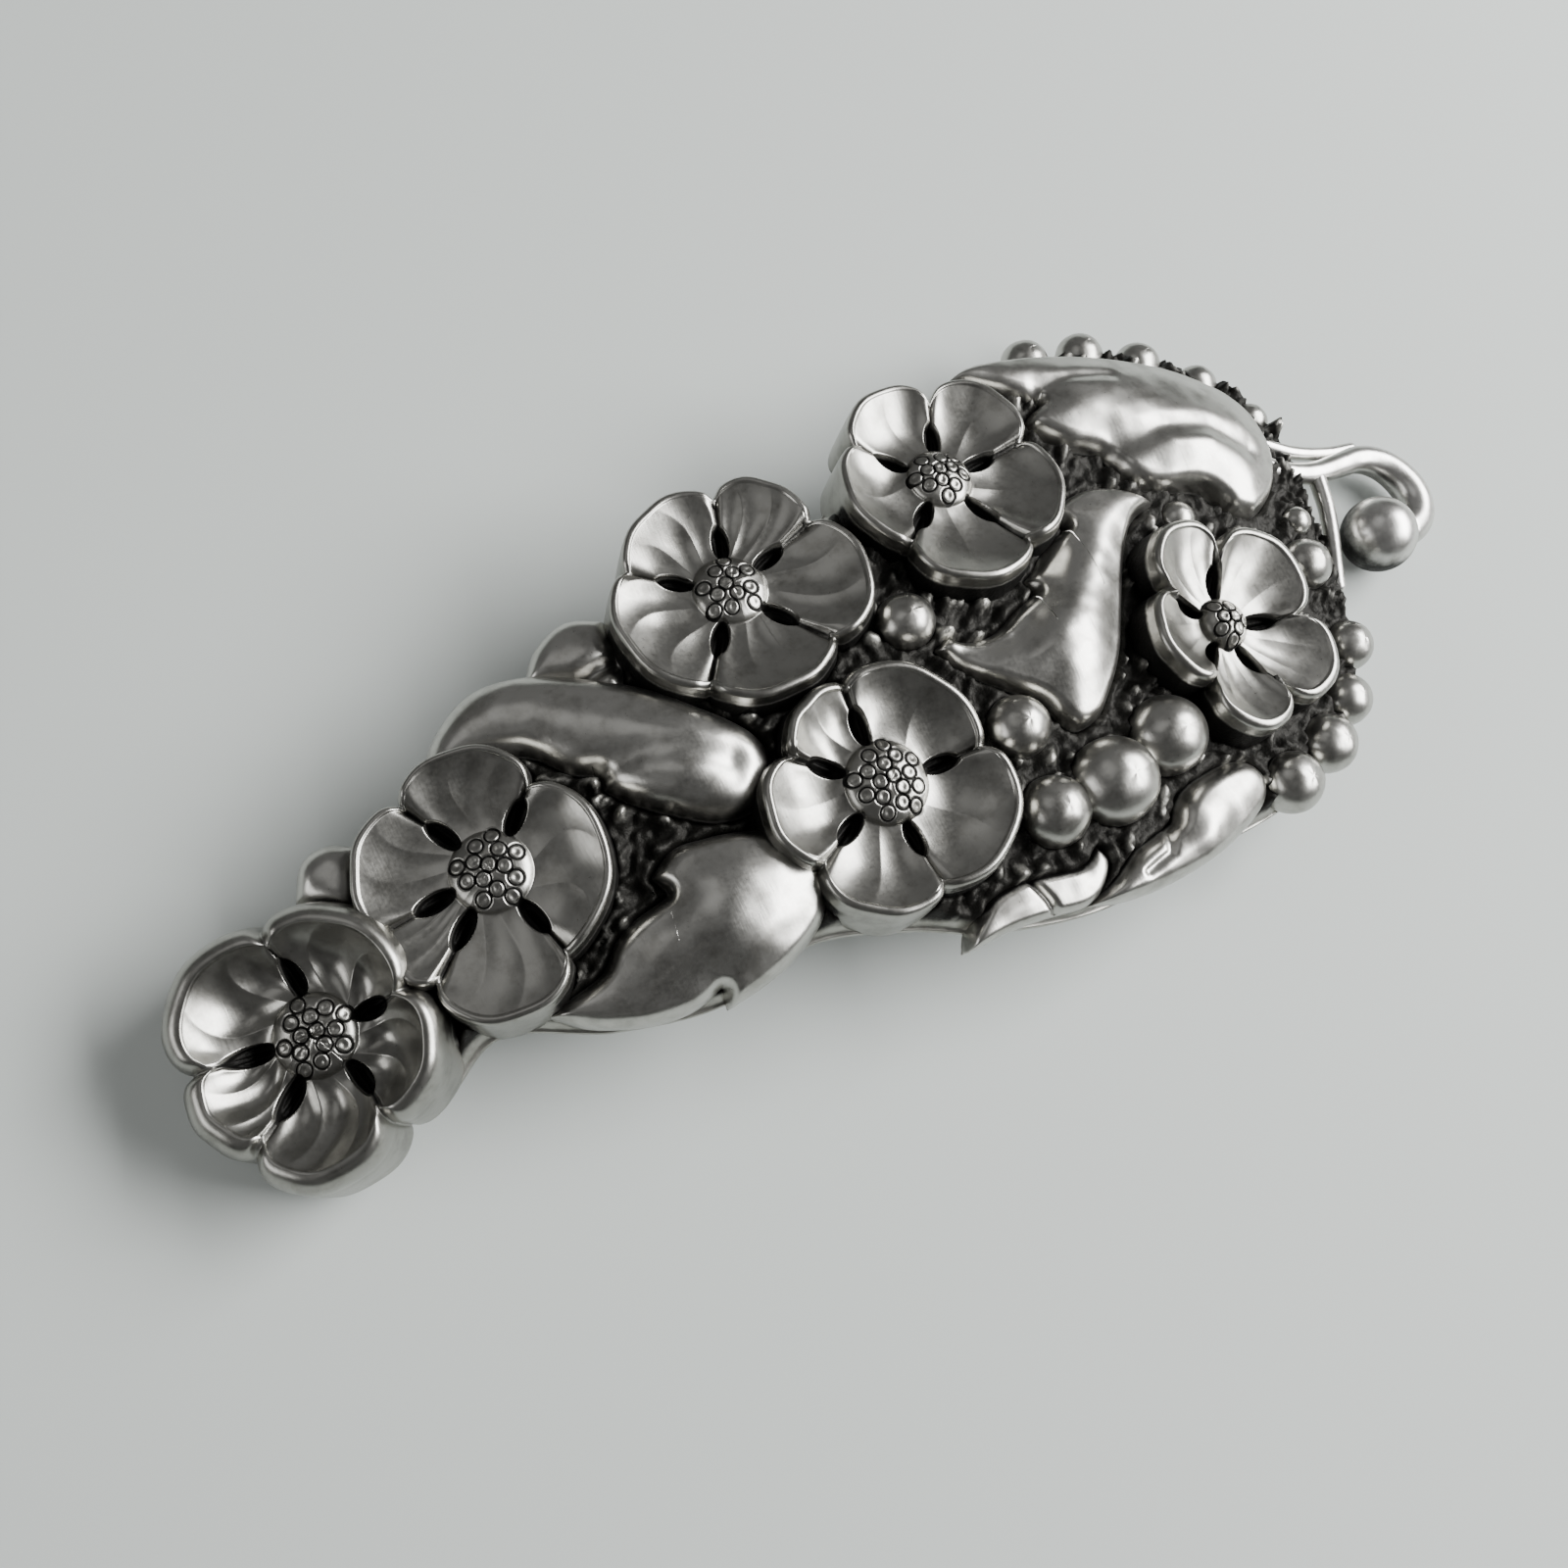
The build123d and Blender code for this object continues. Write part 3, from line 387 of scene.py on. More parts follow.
def flower_skin(name, f, sizes, seed):
    """A flower as rings about its axis: the boss, the petals, the rim, its shoulder, the wall and the foot.

    The petals rise from the valley to the rim as a power of the share of the way out. Subtracted from that
    are a cup, sin(pi t) times (1 - a^2), scoops, |sin| of the place across with sharp ridges between them,
    and a groove along each side. The boss adds (1 - (r/b)^2)^0.55. Each ring punch is a groove, a bell about a
    circle, round a shallow dimple. Each slot is an oval pit. The wall flares towards its foot."""
    around = 500
    theta = np.linspace(0, 2 * np.pi, around, endpoint=False)
    outline, a, half = petal_outline(f["petals"], theta)
    outline = outline + 0.05 * np.sin(2.5 * np.pi * (a + 1) + seed) * (1 - a**2)
    outline = outline + 0.08 * np.sin(3 * theta + seed)
    out, drop = f["shoulder"]
    lean, lip = math.radians(60), 0.22
    rim = f["rim"] + 0.25 * (1 - a**2) - 0.35 * bell(1 - np.abs(a), 0.10) + f["lap"] * a
    crest = outline - out * sizes.rim_roll
    inner = crest - lip * math.sin(lean)
    inner_height = rim - lip + lip * math.cos(lean)
    boss, boss_height = f["boss"]

    share = np.concatenate([np.zeros(58), np.linspace(0, 1, 84)])[:, None]
    r = np.concatenate([np.linspace(0, 1, 58, endpoint=False), np.ones(84)])[:, None] * boss
    r = r + share * (inner - boss)
    t = np.clip((r - boss) / (inner - boss), 0, 1)
    window = np.sin(np.pi * np.clip(t * 0.96 + 0.02, 0, 1))
    z = f["valley"] + (inner_height - f["valley"]) * t ** f["swell"]
    z = z - f["cup"] * window * (1 - a**2) ** 0.8
    scallop = np.abs(np.sin(np.pi * f["flutes"] * ((a + 1) / 2 + f["skew"] * (t - 0.5) ** 2)))
    z = z - f["scoop"] * scallop * window**0.7
    z = z + f["lap"] * a**3 * step(0.1, 0.6, t)
    side = (1 - np.abs(a)) * half * r
    groove = bell(side, 0.12) * step(0.05, 0.3, t)
    z = z - 0.36 * sizes.groove_depth * groove
    z = z + boss_height * np.clip(1 - (r / boss) ** 2, 0, 1) ** 0.55
    patina_and_shade = 0.7 * groove + 0.35 * bell(r - boss, 0.22) + 0.08 * scallop * window

    x, y = r * np.cos(theta), r * np.sin(theta)
    pits = np.zeros_like(z)
    for angle, _, _ in f["petals"]:
        length, width = f["slot"]
        bearing = math.radians(angle)
        along = x * math.cos(bearing) + y * math.sin(bearing) - boss - length * 0.42
        over = -x * math.sin(bearing) + y * math.cos(bearing)
        pits = np.maximum(pits, 1 - step(0.62, 1.05, (along / length * 2) ** 2 + (over / width * 2) ** 2))
    z = z - 0.85 * sizes.slot_depth * pits
    patina_and_shade = patina_and_shade + 1.2 * pits

    order = np.arange(f["rings"])
    spread = (boss - 0.3) * np.sqrt((order + 0.3) / f["rings"])
    swirl = order * math.radians(137.5) + math.radians(f["turn"])
    ring = sizes.ring_punch / 2
    for cx, cy in zip(spread * np.cos(swirl), spread * np.sin(swirl)):
        away = np.hypot(x - cx, y - cy)
        z = z - 0.13 * bell(away - ring, 0.065) - 0.05 * bell(away, 0.16)
        patina_and_shade = patina_and_shade + 0.95 * bell(away - ring, 0.08) + 0.35 * bell(away, 0.12)

    angle = np.concatenate([np.linspace(-lean, 0, 5)[1:], np.linspace(0, math.pi / 2, 12)[1:]])[:, None]
    turn_r, turn_z = np.where(angle < 0, lip, out * sizes.rim_roll), np.where(angle < 0, lip, drop)
    rim_r = crest + turn_r * np.sin(angle)
    rim_z = rim - turn_z + turn_z * np.cos(angle)
    rim_patina = 0.5 * bell((1 - np.abs(a)) * half * outline, 0.2) + 0 * angle

    down = np.linspace(0, 1, 18)[1:, None]
    floor = -((outline * np.cos(theta)) ** 2 / BOW_ALONG + (outline * np.sin(theta)) ** 2 / BOW_ACROSS) / 2
    wall_r = outline + 0.35 * down**0.7
    wall_z = (rim - drop) + (floor - SUNK - rim + drop) * down
    wall_x, wall_y = f["centre"][0] + wall_r * np.cos(theta), f["centre"][1] + wall_r * np.sin(theta)
    # Partly the oxide where the wall meets the ground, partly painted shade: the wall goes dark from 1 mm below
    # the rim's shoulder down to its foot, fading out by 0.1 mm below it. It stays clean on the plate's filed
    # edge.
    wall_patina_and_shade = (0.95 - step(-1.0, -0.1, wall_z - rim + drop)) * within_plate(wall_x, wall_y)

    r = np.concatenate([r, rim_r, wall_r, 0 * outline[None, :]])
    z = np.concatenate([z, rim_z, wall_z, np.full((1, around), -SUNK)])
    patina_and_shade = np.concatenate([patina_and_shade, rim_patina, wall_patina_and_shade, np.ones((1, around))])
    inward = np.clip(1 - (r / outline) ** 2, 0, 1)
    inward[-19:] = 0
    x = r * np.cos(theta) + f["shift"][0] * inward
    y = r * np.sin(theta) + f["shift"][1] * inward
    z = z + 0.03 * sizes.planishing * ripples(x, y, 2.2, seed) * step(0.0, 0.6, z)
    return closed_skin(name, seated(f["centre"], x, y, z), patina_and_shade)


def inset(outline, x, y):
    """How far inside a closed outline each point lies, as a smooth distance. Beside a straight edge the cube
    root of pi/2 over the integral of 1/(r^2 + e^2)^2 round the outline is the root of d^2 + e^2, and e, 0.1 mm,
    is wider than the outline's steps, so that they don't show in d."""
    blur = 0.1
    spacing = np.linalg.norm(outline - np.roll(outline, 1, axis=0), axis=1)
    total = np.zeros(x.shape)
    for (px, py), length in zip(outline, spacing):
        total += length / ((x - px) ** 2 + (y - py) ** 2 + blur**2) ** 2
    return np.sqrt(np.maximum((math.pi / 2 / total) ** (2 / 3) - blur**2, 0))


def leaf_outline(leaf, count):
    """The outline of a leaf, up one edge and back down the other."""
    return np.vstack([edge_line(leaf["left"], count), edge_line(leaf["right"], count)[-2:0:-1]])


def leaf_skin(name, leaf, sizes, seed):
    """A leaf as rings round its length. Its top rises from the outline as a rounded shoulder,
    (1 - (1 - d/w)^2.2)^(1/2.2) for the distance d inside and the width w, and then domes slowly."""
    rows, over, under = 230, 130, 6
    left = edge_line(leaf["left"], rows)[:, None, :]
    right = edge_line(leaf["right"], rows)[:, None, :]
    s = np.linspace(1, -1, over)
    v = 0.45 * s + 0.55 * np.sin(np.pi / 2 * s)
    v = np.concatenate([v, np.linspace(-1, 1, under)])
    plan = (left + right) / 2 + (left - right) / 2 * v[None, :, None]
    x, y = plan[..., 0], plan[..., 1]
    depth = inset(leaf_outline(leaf, 260), x, y)
    shoulder = (1 - np.clip(1 - depth / leaf["shoulder"], 0, 1) ** 2.2) ** (1 / 2.2)
    dome = 1 - bell(depth, 2.2)
    lift = leaf["crown"] * (0.72 * shoulder + 0.3 * dome)
    top = step(0.5, 0.95, shoulder)
    # Partly oxide, partly painted shade: the leaf is dark where it stands less than 1.1 mm above the plate,
    # clearing by 1.9 mm, at the foot of its sides.
    patina_and_shade = (0.9 - step(1.1, 1.9, lift)) * within_plate(x, y)
    for line, width, deep in leaf["creases"]:
        mark = bell(distance_to(line, x, y), width)
        lift = lift - deep * sizes.groove_depth * mark * top
        patina_and_shade = patina_and_shade + 0.4 * bell(distance_to(line, x, y), width * 0.6) * top
    for (cx, cy), size, height in leaf["swells"]:
        lift = lift + height * bell(np.hypot(x - cx, y - cy), size) * top
    lift = lift + 0.05 * sizes.planishing * ripples(x, y, 3.6, seed) * top
    lift = lift + 0.02 * sizes.planishing * ripples(x, y, 1.6, seed + 50) * top
    foot = np.concatenate([np.zeros(over), np.ones(under)])
    foot[0] = foot[over - 1] = 1
    lift = np.where(foot[None, :] > 0, -SUNK, lift - SUNK * (1 - shoulder))
    return closed_skin(name, on_dome(x, y, lift), patina_and_shade)


def berry_skin(name, centre, radius, lift, sizes, seed):
    """A ball about its own axis, a tenth longer along the bow, whose lower side ends in a foot in the plate."""
    around = 64
    lowest = math.acos(max(-1.0, (-SUNK - lift) / radius))
    down = np.linspace(0, lowest, 40)[:, None]
    theta = np.linspace(0, 2 * np.pi, around, endpoint=False)
    marks = ripples(4 * down + 0 * theta, 2 * theta + 0 * down, 3.0, seed)
    ball = radius * (1 + 0.012 * sizes.planishing * marks)
    x = 1.1 * ball * np.sin(down) * np.cos(theta)
    y = 1.04 * ball * np.sin(down) * np.sin(theta)
    z = lift + ball * np.cos(down)
    x, y = (np.vstack([part, np.zeros((1, around))]) for part in (x, y))
    z = np.vstack([z, np.full((1, around), -SUNK)])
    # Partly oxide, partly painted shade: each berry is dark on its lower side, below 1.1 mm above the plate,
    # clearing by 1.9 mm.
    patina_and_shade = (0.95 - step(1.1, 1.9, z)) * within_plate(centre[0] + x, centre[1] + y)
    return closed_skin(name, seated(centre, x, y, z), patina_and_shade)


def gap_round(x, y):
    """The distance from each point to the nearest applied piece, which is negative inside it."""
    nearest = np.full(x.shape, 1e9)
    for f in FLOWERS.values():
        dx, dy = x - f["centre"][0], y - f["centre"][1]
        rim, _, _ = petal_outline(f["petals"], np.arctan2(dy, dx) % (2 * np.pi))
        nearest = np.minimum(nearest, np.hypot(dx, dy) - rim)
    for (cx, cy), radius, _ in BERRIES:
        nearest = np.minimum(nearest, np.hypot(x - cx, y - cy) - radius)
    for leaf in LEAVES.values():
        nearest = np.minimum(nearest, gap_to(leaf_outline(leaf, 90), x, y))
    return nearest


def plate_skin(sizes):
    """The plate as rings round its length: over the top, round the filed edge and back underneath. Between the
    applied pieces the ground stands up in rough lumps, the size of |sum of waves|, and fillets against them."""
    rows, over, edge, under = 470, 140, 9, 50
    left = edge_line(PLATE_LEFT, rows)[:, None, :]
    right = edge_line(PLATE_RIGHT, rows)[:, None, :]
    v = np.concatenate(
        [np.linspace(1, -1, over), np.full(edge, -1.0), np.linspace(-1, 1, under), np.full(edge, 1.0)]
    )
    bend = np.linspace(0, np.pi, edge)
    half = PLATE_THICKNESS / 2
    proud = np.concatenate([np.zeros(over), -np.sin(bend), np.zeros(under), np.sin(bend)]) * 0.15
    depth = np.concatenate(
        [np.zeros(over), half * (1 - np.cos(bend)), np.full(under, 2 * half), half * (1 + np.cos(bend))]
    )
    across = (left - right) / 2
    width = np.maximum(np.linalg.norm(across, axis=-1, keepdims=True), 1e-6)
    plan = (left + right) / 2 + across * v[None, :, None] * 0.995 + across / width * proud[None, :, None]
    x, y = plan[..., 0], plan[..., 1]
    top = (np.arange(len(v)) < over)[None, :] * np.ones((rows, 1))
    below = (depth == 2 * half)[None, :] * np.ones((rows, 1)) * (1 - top)
    gap = gap_round(x, y)
    from_edge = (1 - np.abs(v))[None, :] * width[..., 0]
    rise = top * step(0.0, 1.3, from_edge) * step(-0.8, 0.3, gap)
    lump = 0.75 * np.abs(ripples(x, y, 2.1, 7)) + 0.35 * np.abs(ripples(x, y, 1.0, 8))
    lump = lump + 0.25 * ripples(x, y, 4.0, 11)
    ground = sizes.ground_height * (0.55 + 0.62 * lump) + 0.45 * bell(np.maximum(gap, 0), 0.45)
    lift = -depth[None, :] + rise * ground + below * 0.03 * ripples(x, y, 6.0, 9)
    patina_and_shade = top * step(0.1, 0.9, from_edge) * (0.84 - 0.9 * np.clip(lump - 0.4, 0, 1)) + 0.1 * below
    return closed_skin("silver_back_plate", on_dome(x, y, lift), patina_and_shade)


def tube_skin(name, path, radius, side, patina_and_shade):
    """A round section carried along a path that lies in a plane: each ring stands square to the path, on the
    plane's normal and the cross product of that with the tangent, and both ends are rounded off."""
    tangent = np.gradient(path, axis=0)
    tangent /= np.linalg.norm(tangent, axis=1, keepdims=True)
    binormal = np.broadcast_to(np.array(side), tangent.shape)
    normal = np.cross(binormal, tangent)
    theta = np.linspace(0, 2 * np.pi, 40, endpoint=False)[None, :, None]
    body = path[:, None, :] + radius[:, None, None] * (
        np.cos(theta) * normal[:, None, :] + np.sin(theta) * binormal[:, None, :]
    )
    bend = np.linspace(np.pi / 2, 0, 9)[1:, None, None]

    def cap(end, direction):
        spokes = body[end] - path[end]
        return path[end] + spokes[None] * np.sin(bend) + direction * radius[end] * tangent[end] * np.cos(bend)

    rows = np.concatenate([cap(0, -1)[::-1], body, cap(-1, 1)])
    return closed_skin(name, rows, np.full(rows.shape[:2], patina_and_shade))


def arc(start, heading, radius, sweep, count):
    """Points along an arc from start, first facing heading, that turns left by sweep (right if negative)."""
    side = math.copysign(1.0, sweep)
    centre = np.array(start) + side * radius * np.array([-math.sin(heading), math.cos(heading)])
    turned = heading - side * math.pi / 2 + np.linspace(0, sweep, count)
    return centre + radius * np.stack([np.cos(turned), np.sin(turned)], axis=-1)


def stem_points(plan):
    """Lays points of the stem's own plane, which falls away towards its curl, in place."""
    root = on_dome(np.float64(STEM_ROOT[0]), np.float64(STEM_ROOT[1]), np.float64(STEM_LIFT))
    origin = np.array([STEM_ROOT[0], STEM_ROOT[1], root[2]])
    along = np.array([math.cos(STEM_TILT), 0, -math.sin(STEM_TILT)])
    plan = np.asarray(plan, float)
    return origin + plan[:, :1] * along + plan[:, 1:] * np.array([0.0, 1.0, 0.0])


# ---- finishes -------------------------------------------------------------------------------------------
def colour(text):
    """An sRGB hex colour as linear light."""
    parts = [int(text[i : i + 2], 16) / 255 for i in (1, 3, 5)]
    return tuple(c / 12.92 if c <= 0.04045 else ((c + 0.055) / 1.055) ** 2.4 for c in parts) + (1.0,)


def add_node(tree, kind, settings=None, **links):
    """Adds a node, with settings by property or by socket name, and links into its sockets."""
    node = tree.nodes.new(kind)
    for key, value in (settings or {}).items():
        if hasattr(node, key):
            setattr(node, key, value)
        else:
            node.inputs[int(key) if key.isdigit() else key].default_value = value
    for key, source in links.items():
        key = key.replace("_", " ")
        tree.links.new(source, node.inputs[int(key[1:]) if key[0] == "i" and key[1:].isdigit() else key])
    return node


def antiqued_silver(name, bright, tarnish, dark, polish, facet, scratches):
    """Sterling silver that was blackened with liver of sulphur and burnished back: bright and slightly warm on
    the high places, black and matt in the recesses, with soft hammer facets and fine hairlines. The black
    follows each piece's darkening attribute. That attribute holds the oxide in the hollows, and also painted
    shade at the feet of the walls and on the underside of the stem ball."""
    material = bpy.data.materials.new(name)
    material.use_nodes = True
    tree = material.node_tree
    tree.nodes.clear()
    place_in = add_node(tree, "ShaderNodeTexCoord").outputs["Object"]
    # Painted shade and real oxide: this attribute carries painted shade at the feet of walls and under the stem
    # ball, as well as the oxide in the hollows.
    oxide_and_shade = add_node(tree, "ShaderNodeAttribute", {"attribute_name": "patina_and_shade"}).outputs["Fac"]
    blotch = add_node(
        tree, "ShaderNodeTexNoise", {"Scale": 1 / (1.6 * MM), "Detail": 5.0, "Roughness": 0.62}, Vector=place_in
    ).outputs["Fac"]
    grain = add_node(
        tree, "ShaderNodeTexNoise", {"Scale": 1 / (0.22 * MM), "Detail": 3.0, "Roughness": 0.6}, Vector=place_in
    ).outputs["Fac"]
    ragged = add_node(
        tree, "ShaderNodeMath", {"operation": "MULTIPLY_ADD", "1": 0.5, "2": -0.25}, i0=blotch
    ).outputs[0]
    stain_and_shade = add_node(tree, "ShaderNodeMath", {"operation": "ADD"}, i0=oxide_and_shade, i1=ragged).outputs[0]
    black = add_node(
        tree, "ShaderNodeMapRange", {"interpolation_type": "SMOOTHSTEP", "From Min": 0.27, "From Max": 0.75},
        Value=stain_and_shade,
    ).outputs["Result"]
    film = add_node(
        tree, "ShaderNodeMapRange", {"interpolation_type": "SMOOTHSTEP", "From Min": 0.42, "From Max": 0.72,
                                     "To Max": 0.5}, Value=blotch,
    ).outputs["Result"]
    clean = add_node(
        tree, "ShaderNodeMix", {"data_type": "RGBA", "6": colour(bright), "7": colour(tarnish)}, i0=film
    ).outputs[2]
    base = add_node(
        tree, "ShaderNodeMix", {"data_type": "RGBA", "7": colour(dark)}, i0=black, i6=clean
    ).outputs[2]
    rough = add_node(
        tree, "ShaderNodeMapRange", {"To Min": polish, "To Max": 0.5}, Value=black
    ).outputs["Result"]
    rough = add_node(
        tree, "ShaderNodeMath", {"operation": "MULTIPLY_ADD", "1": 0.14, "use_clamp": True}, i0=grain, i2=rough
    ).outputs[0]
    metal = add_node(tree, "ShaderNodeMapRange", {"To Min": 1.0, "To Max": 0.7}, Value=black).outputs["Result"]
    hammer = add_node(
        tree, "ShaderNodeTexVoronoi", {"feature": "SMOOTH_F1", "Scale": 1 / (1.7 * MM), "Smoothness": 0.9},
        Vector=place_in,
    ).outputs["Distance"]
    hairline = add_node(
        tree, "ShaderNodeMapping", {"vector_type": "POINT", "Scale": (7000.0, 600.0, 1500.0),
                                    "Rotation": (0.3, 0.2, 0.9)}, Vector=place_in,
    ).outputs["Vector"]
    hairline = add_node(
        tree, "ShaderNodeTexNoise", {"Scale": 1.0, "Detail": 2.0}, Vector=hairline
    ).outputs["Fac"]
    bump = add_node(
        tree, "ShaderNodeBump", {"Strength": facet, "Distance": 0.16 * MM}, Height=hammer
    ).outputs["Normal"]
    bump = add_node(
        tree, "ShaderNodeBump", {"Strength": scratches, "Distance": 0.01 * MM}, Height=hairline, Normal=bump
    ).outputs["Normal"]
    pitted = add_node(tree, "ShaderNodeMath", {"operation": "MULTIPLY"}, i0=grain, i1=black).outputs[0]
    bump = add_node(
        tree, "ShaderNodeBump", {"Strength": 0.5, "Distance": 0.12 * MM}, Height=pitted, Normal=bump
    ).outputs["Normal"]
    shader = add_node(
        tree, "ShaderNodeBsdfPrincipled", {}, Base_Color=base, Roughness=rough, Metallic=metal, Normal=bump
    )
    add_node(tree, "ShaderNodeOutputMaterial", {}, Surface=shader.outputs["BSDF"])
    return material


def drawn_wire(name, tone, polish):
    """Nickel silver or silver stock as drawn and filed: warm grey metal with fine marks along X."""
    material = bpy.data.materials.new(name)
    material.use_nodes = True
    tree = material.node_tree
    tree.nodes.clear()
    place_in = add_node(tree, "ShaderNodeTexCoord").outputs["Object"]
    stretched = add_node(
        tree, "ShaderNodeMapping", {"vector_type": "POINT", "Scale": (300.0, 5000.0, 5000.0)}, Vector=place_in
    ).outputs["Vector"]
    marks = add_node(tree, "ShaderNodeTexNoise", {"Scale": 1.0, "Detail": 3.0}, Vector=stretched).outputs["Fac"]
    cloud = add_node(
        tree, "ShaderNodeTexNoise", {"Scale": 1 / (2.4 * MM), "Detail": 4.0}, Vector=place_in
    ).outputs["Fac"]
    film = add_node(
        tree, "ShaderNodeMapRange", {"From Min": 0.45, "From Max": 0.75, "To Max": 0.6}, Value=cloud
    ).outputs["Result"]
    base = add_node(
        tree, "ShaderNodeMix", {"data_type": "RGBA", "6": colour(tone), "7": colour("#5A544B")}, i0=film
    ).outputs[2]
    rough = add_node(
        tree, "ShaderNodeMapRange", {"To Min": polish, "To Max": polish + 0.22}, Value=marks
    ).outputs["Result"]
    bump = add_node(
        tree, "ShaderNodeBump", {"Strength": 0.25, "Distance": 0.02 * MM}, Height=marks
    ).outputs["Normal"]
    shader = add_node(
        tree, "ShaderNodeBsdfPrincipled", {"Metallic": 1.0}, Base_Color=base, Roughness=rough, Normal=bump
    )
    add_node(tree, "ShaderNodeOutputMaterial", {}, Surface=shader.outputs["BSDF"])
    return material


# ---- what a user may change -----------------------------------------------------------------------------
class BroochSizes(bpy.types.PropertyGroup):
    """Sizes of the chasing."""

    ring_punch: FloatProperty(
        name="Ring punch", description="Diameter of the groove of a ring-punch mark, mm", default=0.84
    )
    ground_height: FloatProperty(name="Ground", description="Height of the rough ground, mm", default=1.9)
    rim_roll: FloatProperty(name="Rim roll", description="Thickness of the rolled rims, 1 as made", default=1.0)
    groove_depth: FloatProperty(name="Grooves", description="Depth of the grooves, 1 as made", default=1.0)
    slot_depth: FloatProperty(name="Slots", description="Depth of the slots, 1 as made", default=1.0)
    planishing: FloatProperty(
        name="Planishing", description="Height of the hammer marks, 1 as made", default=1.0
    )


class BroochStage(bpy.types.PropertyGroup):
    """The floor and the light."""

    floor_colour: FloatVectorProperty(
        name="Floor", description="Colour of the floor", subtype="COLOR", size=4, default=colour("#B3B8B5")
    )
    key_power: FloatProperty(name="Lights", description="Power of the soft lights, 1 as set", default=1.0)


class BROOCH_OT_back_plate(bpy.types.Operator):
    """Makes the domed back plate with its matted ground and filed edge."""

    bl_idname = "brooch.back_plate"
    bl_label = "Back plate"

    def execute(self, context):
        ground = antiqued_silver(
            "Oxidised sterling silver ground", "#A6A59F", "#66635C", "#191815", 0.32, 0.3, 0.3
        )
        place(plate_skin(context.scene.brooch_sizes), ground, "back_plate")
        return {"FINISHED"}


class BROOCH_OT_flowers(bpy.types.Operator):
    """Makes the six chased flowers."""

    bl_idname = "brooch.flowers"
    bl_label = "Flowers"

    def execute(self, context):
        petal = antiqued_silver(
            "Burnished sterling silver petals", "#9E9D98", "#63615B", "#12110F", 0.235, 0.22, 0.35
        )
        for seed, (name, flower) in enumerate(FLOWERS.items(), start=1):
            piece = flower_skin(f"silver_{name}", flower, context.scene.brooch_sizes, seed)
            place(piece, petal, name)
        return {"FINISHED"}


class BROOCH_OT_leaves(bpy.types.Operator):
    """Makes the leaves, buds and sepal."""

    bl_idname = "brooch.leaves"
    bl_label = "Leaves and buds"

    def execute(self, context):
        leaf = antiqued_silver(
            "Planished sterling silver leaves", "#B4B3AE", "#726F69", "#12110F", 0.235, 0.35, 0.4
        )
        for seed, (name, shape) in enumerate(LEAVES.items(), start=20):
            piece = leaf_skin(f"silver_{name}", shape, context.scene.brooch_sizes, seed)
            place(piece, leaf, name)
        return {"FINISHED"}


class BROOCH_OT_berries(bpy.types.Operator):
    """Makes the grape cluster and the beads along the rim."""

    bl_idname = "brooch.berries"
    bl_label = "Berries"

    def execute(self, context):
        berry = antiqued_silver(
            "Planished sterling silver berries", "#AEADA8", "#6C6A64", "#12110F", 0.235, 0.45, 0.4
        )
        for number, (centre, radius, lift) in enumerate(BERRIES, start=1):
            name = f"berry_{number:02d}"
            piece = berry_skin(f"silver_{name}", centre, radius, lift, context.scene.brooch_sizes, 60 + number)
            place(piece, berry, name)
        return {"FINISHED"}


class BROOCH_OT_stem(bpy.types.Operator):
    """Makes the curled stem with its ball, the tendril beside it and the spur."""

    bl_idname = "brooch.stem"
    bl_label = "Curled stem"

    def execute(self, context):
        wire = antiqued_silver(
            "Burnished sterling silver wire", "#D0CFCB", "#908E87", "#12110F", 0.235, 0.25, 0.4
        )
        up = (math.sin(STEM_TILT), 0.0, math.cos(STEM_TILT))
        dip = math.radians(50)
        first = arc((0, 0), -dip, 8.0, dip, 40)
        straight = first[-1] + np.linspace(0, 2.4, 10)[1:, None] * np.array([1.0, 0.0])
        outer = arc(straight[-1], 0.0, 3.6, -math.pi / 2, 40)[1:]
        inner = arc(outer[-1], -math.pi / 2, 2.5, -math.pi / 2, 30)[1:]
        plan = np.vstack([first, straight, outer, inner])
        share = np.linspace(0, 1, len(plan))
        swell = 0.8 + 0.42 * step(0.2, 0.8, share)
        piece = tube_skin("silver_curled_stem", stem_points(plan), swell, up, 0.0)
        place(piece, wire, "curled_stem")
        end = inner[-1]
        middle = stem_points([(end[0] - BALL_RADIUS + 0.1, end[1] + 0.4)])[0]
        down = np.linspace(0, np.pi, 48)[:, None]
        theta = np.linspace(0, 2 * np.pi, 80, endpoint=False)
        ball = middle + BALL_RADIUS * np.stack(
            [np.sin(down) * np.cos(theta), np.sin(down) * np.sin(theta), np.cos(down) + 0 * theta], axis=-1
        )
        # Painted shade: the ball darkens by height alone, from clean at its top to dark on its underside, where
        # it sits under the curl.
        piece = closed_skin("silver_stem_ball", ball, 0.75 * (1 - step(-0.4, 2.6, ball[..., 2] - middle[2])))
        place(piece, wire, "stem_ball")
        beside = edge_line([(0.5, 1.7), (2.4, 0.3), (4.4, -0.9), (7.0, -1.7), (9.4, -2.0)], 60)
        taper = np.linspace(0.55, 0.42, 60)
        piece = tube_skin("silver_tendril", stem_points(beside), taper, up, 0.05)
        place(piece, wire, "tendril")
        spur = edge_line([(5.0, -3.2), (4.2, -5.4), (3.1, -7.5), (2.0, -9.3), (1.1, -10.8)], 60)
        taper = np.linspace(0.62, 0.52, 60)
        place(tube_skin("silver_spur", stem_points(spur), taper, up, 0.1), wire, "stem_spur")
        return {"FINISHED"}


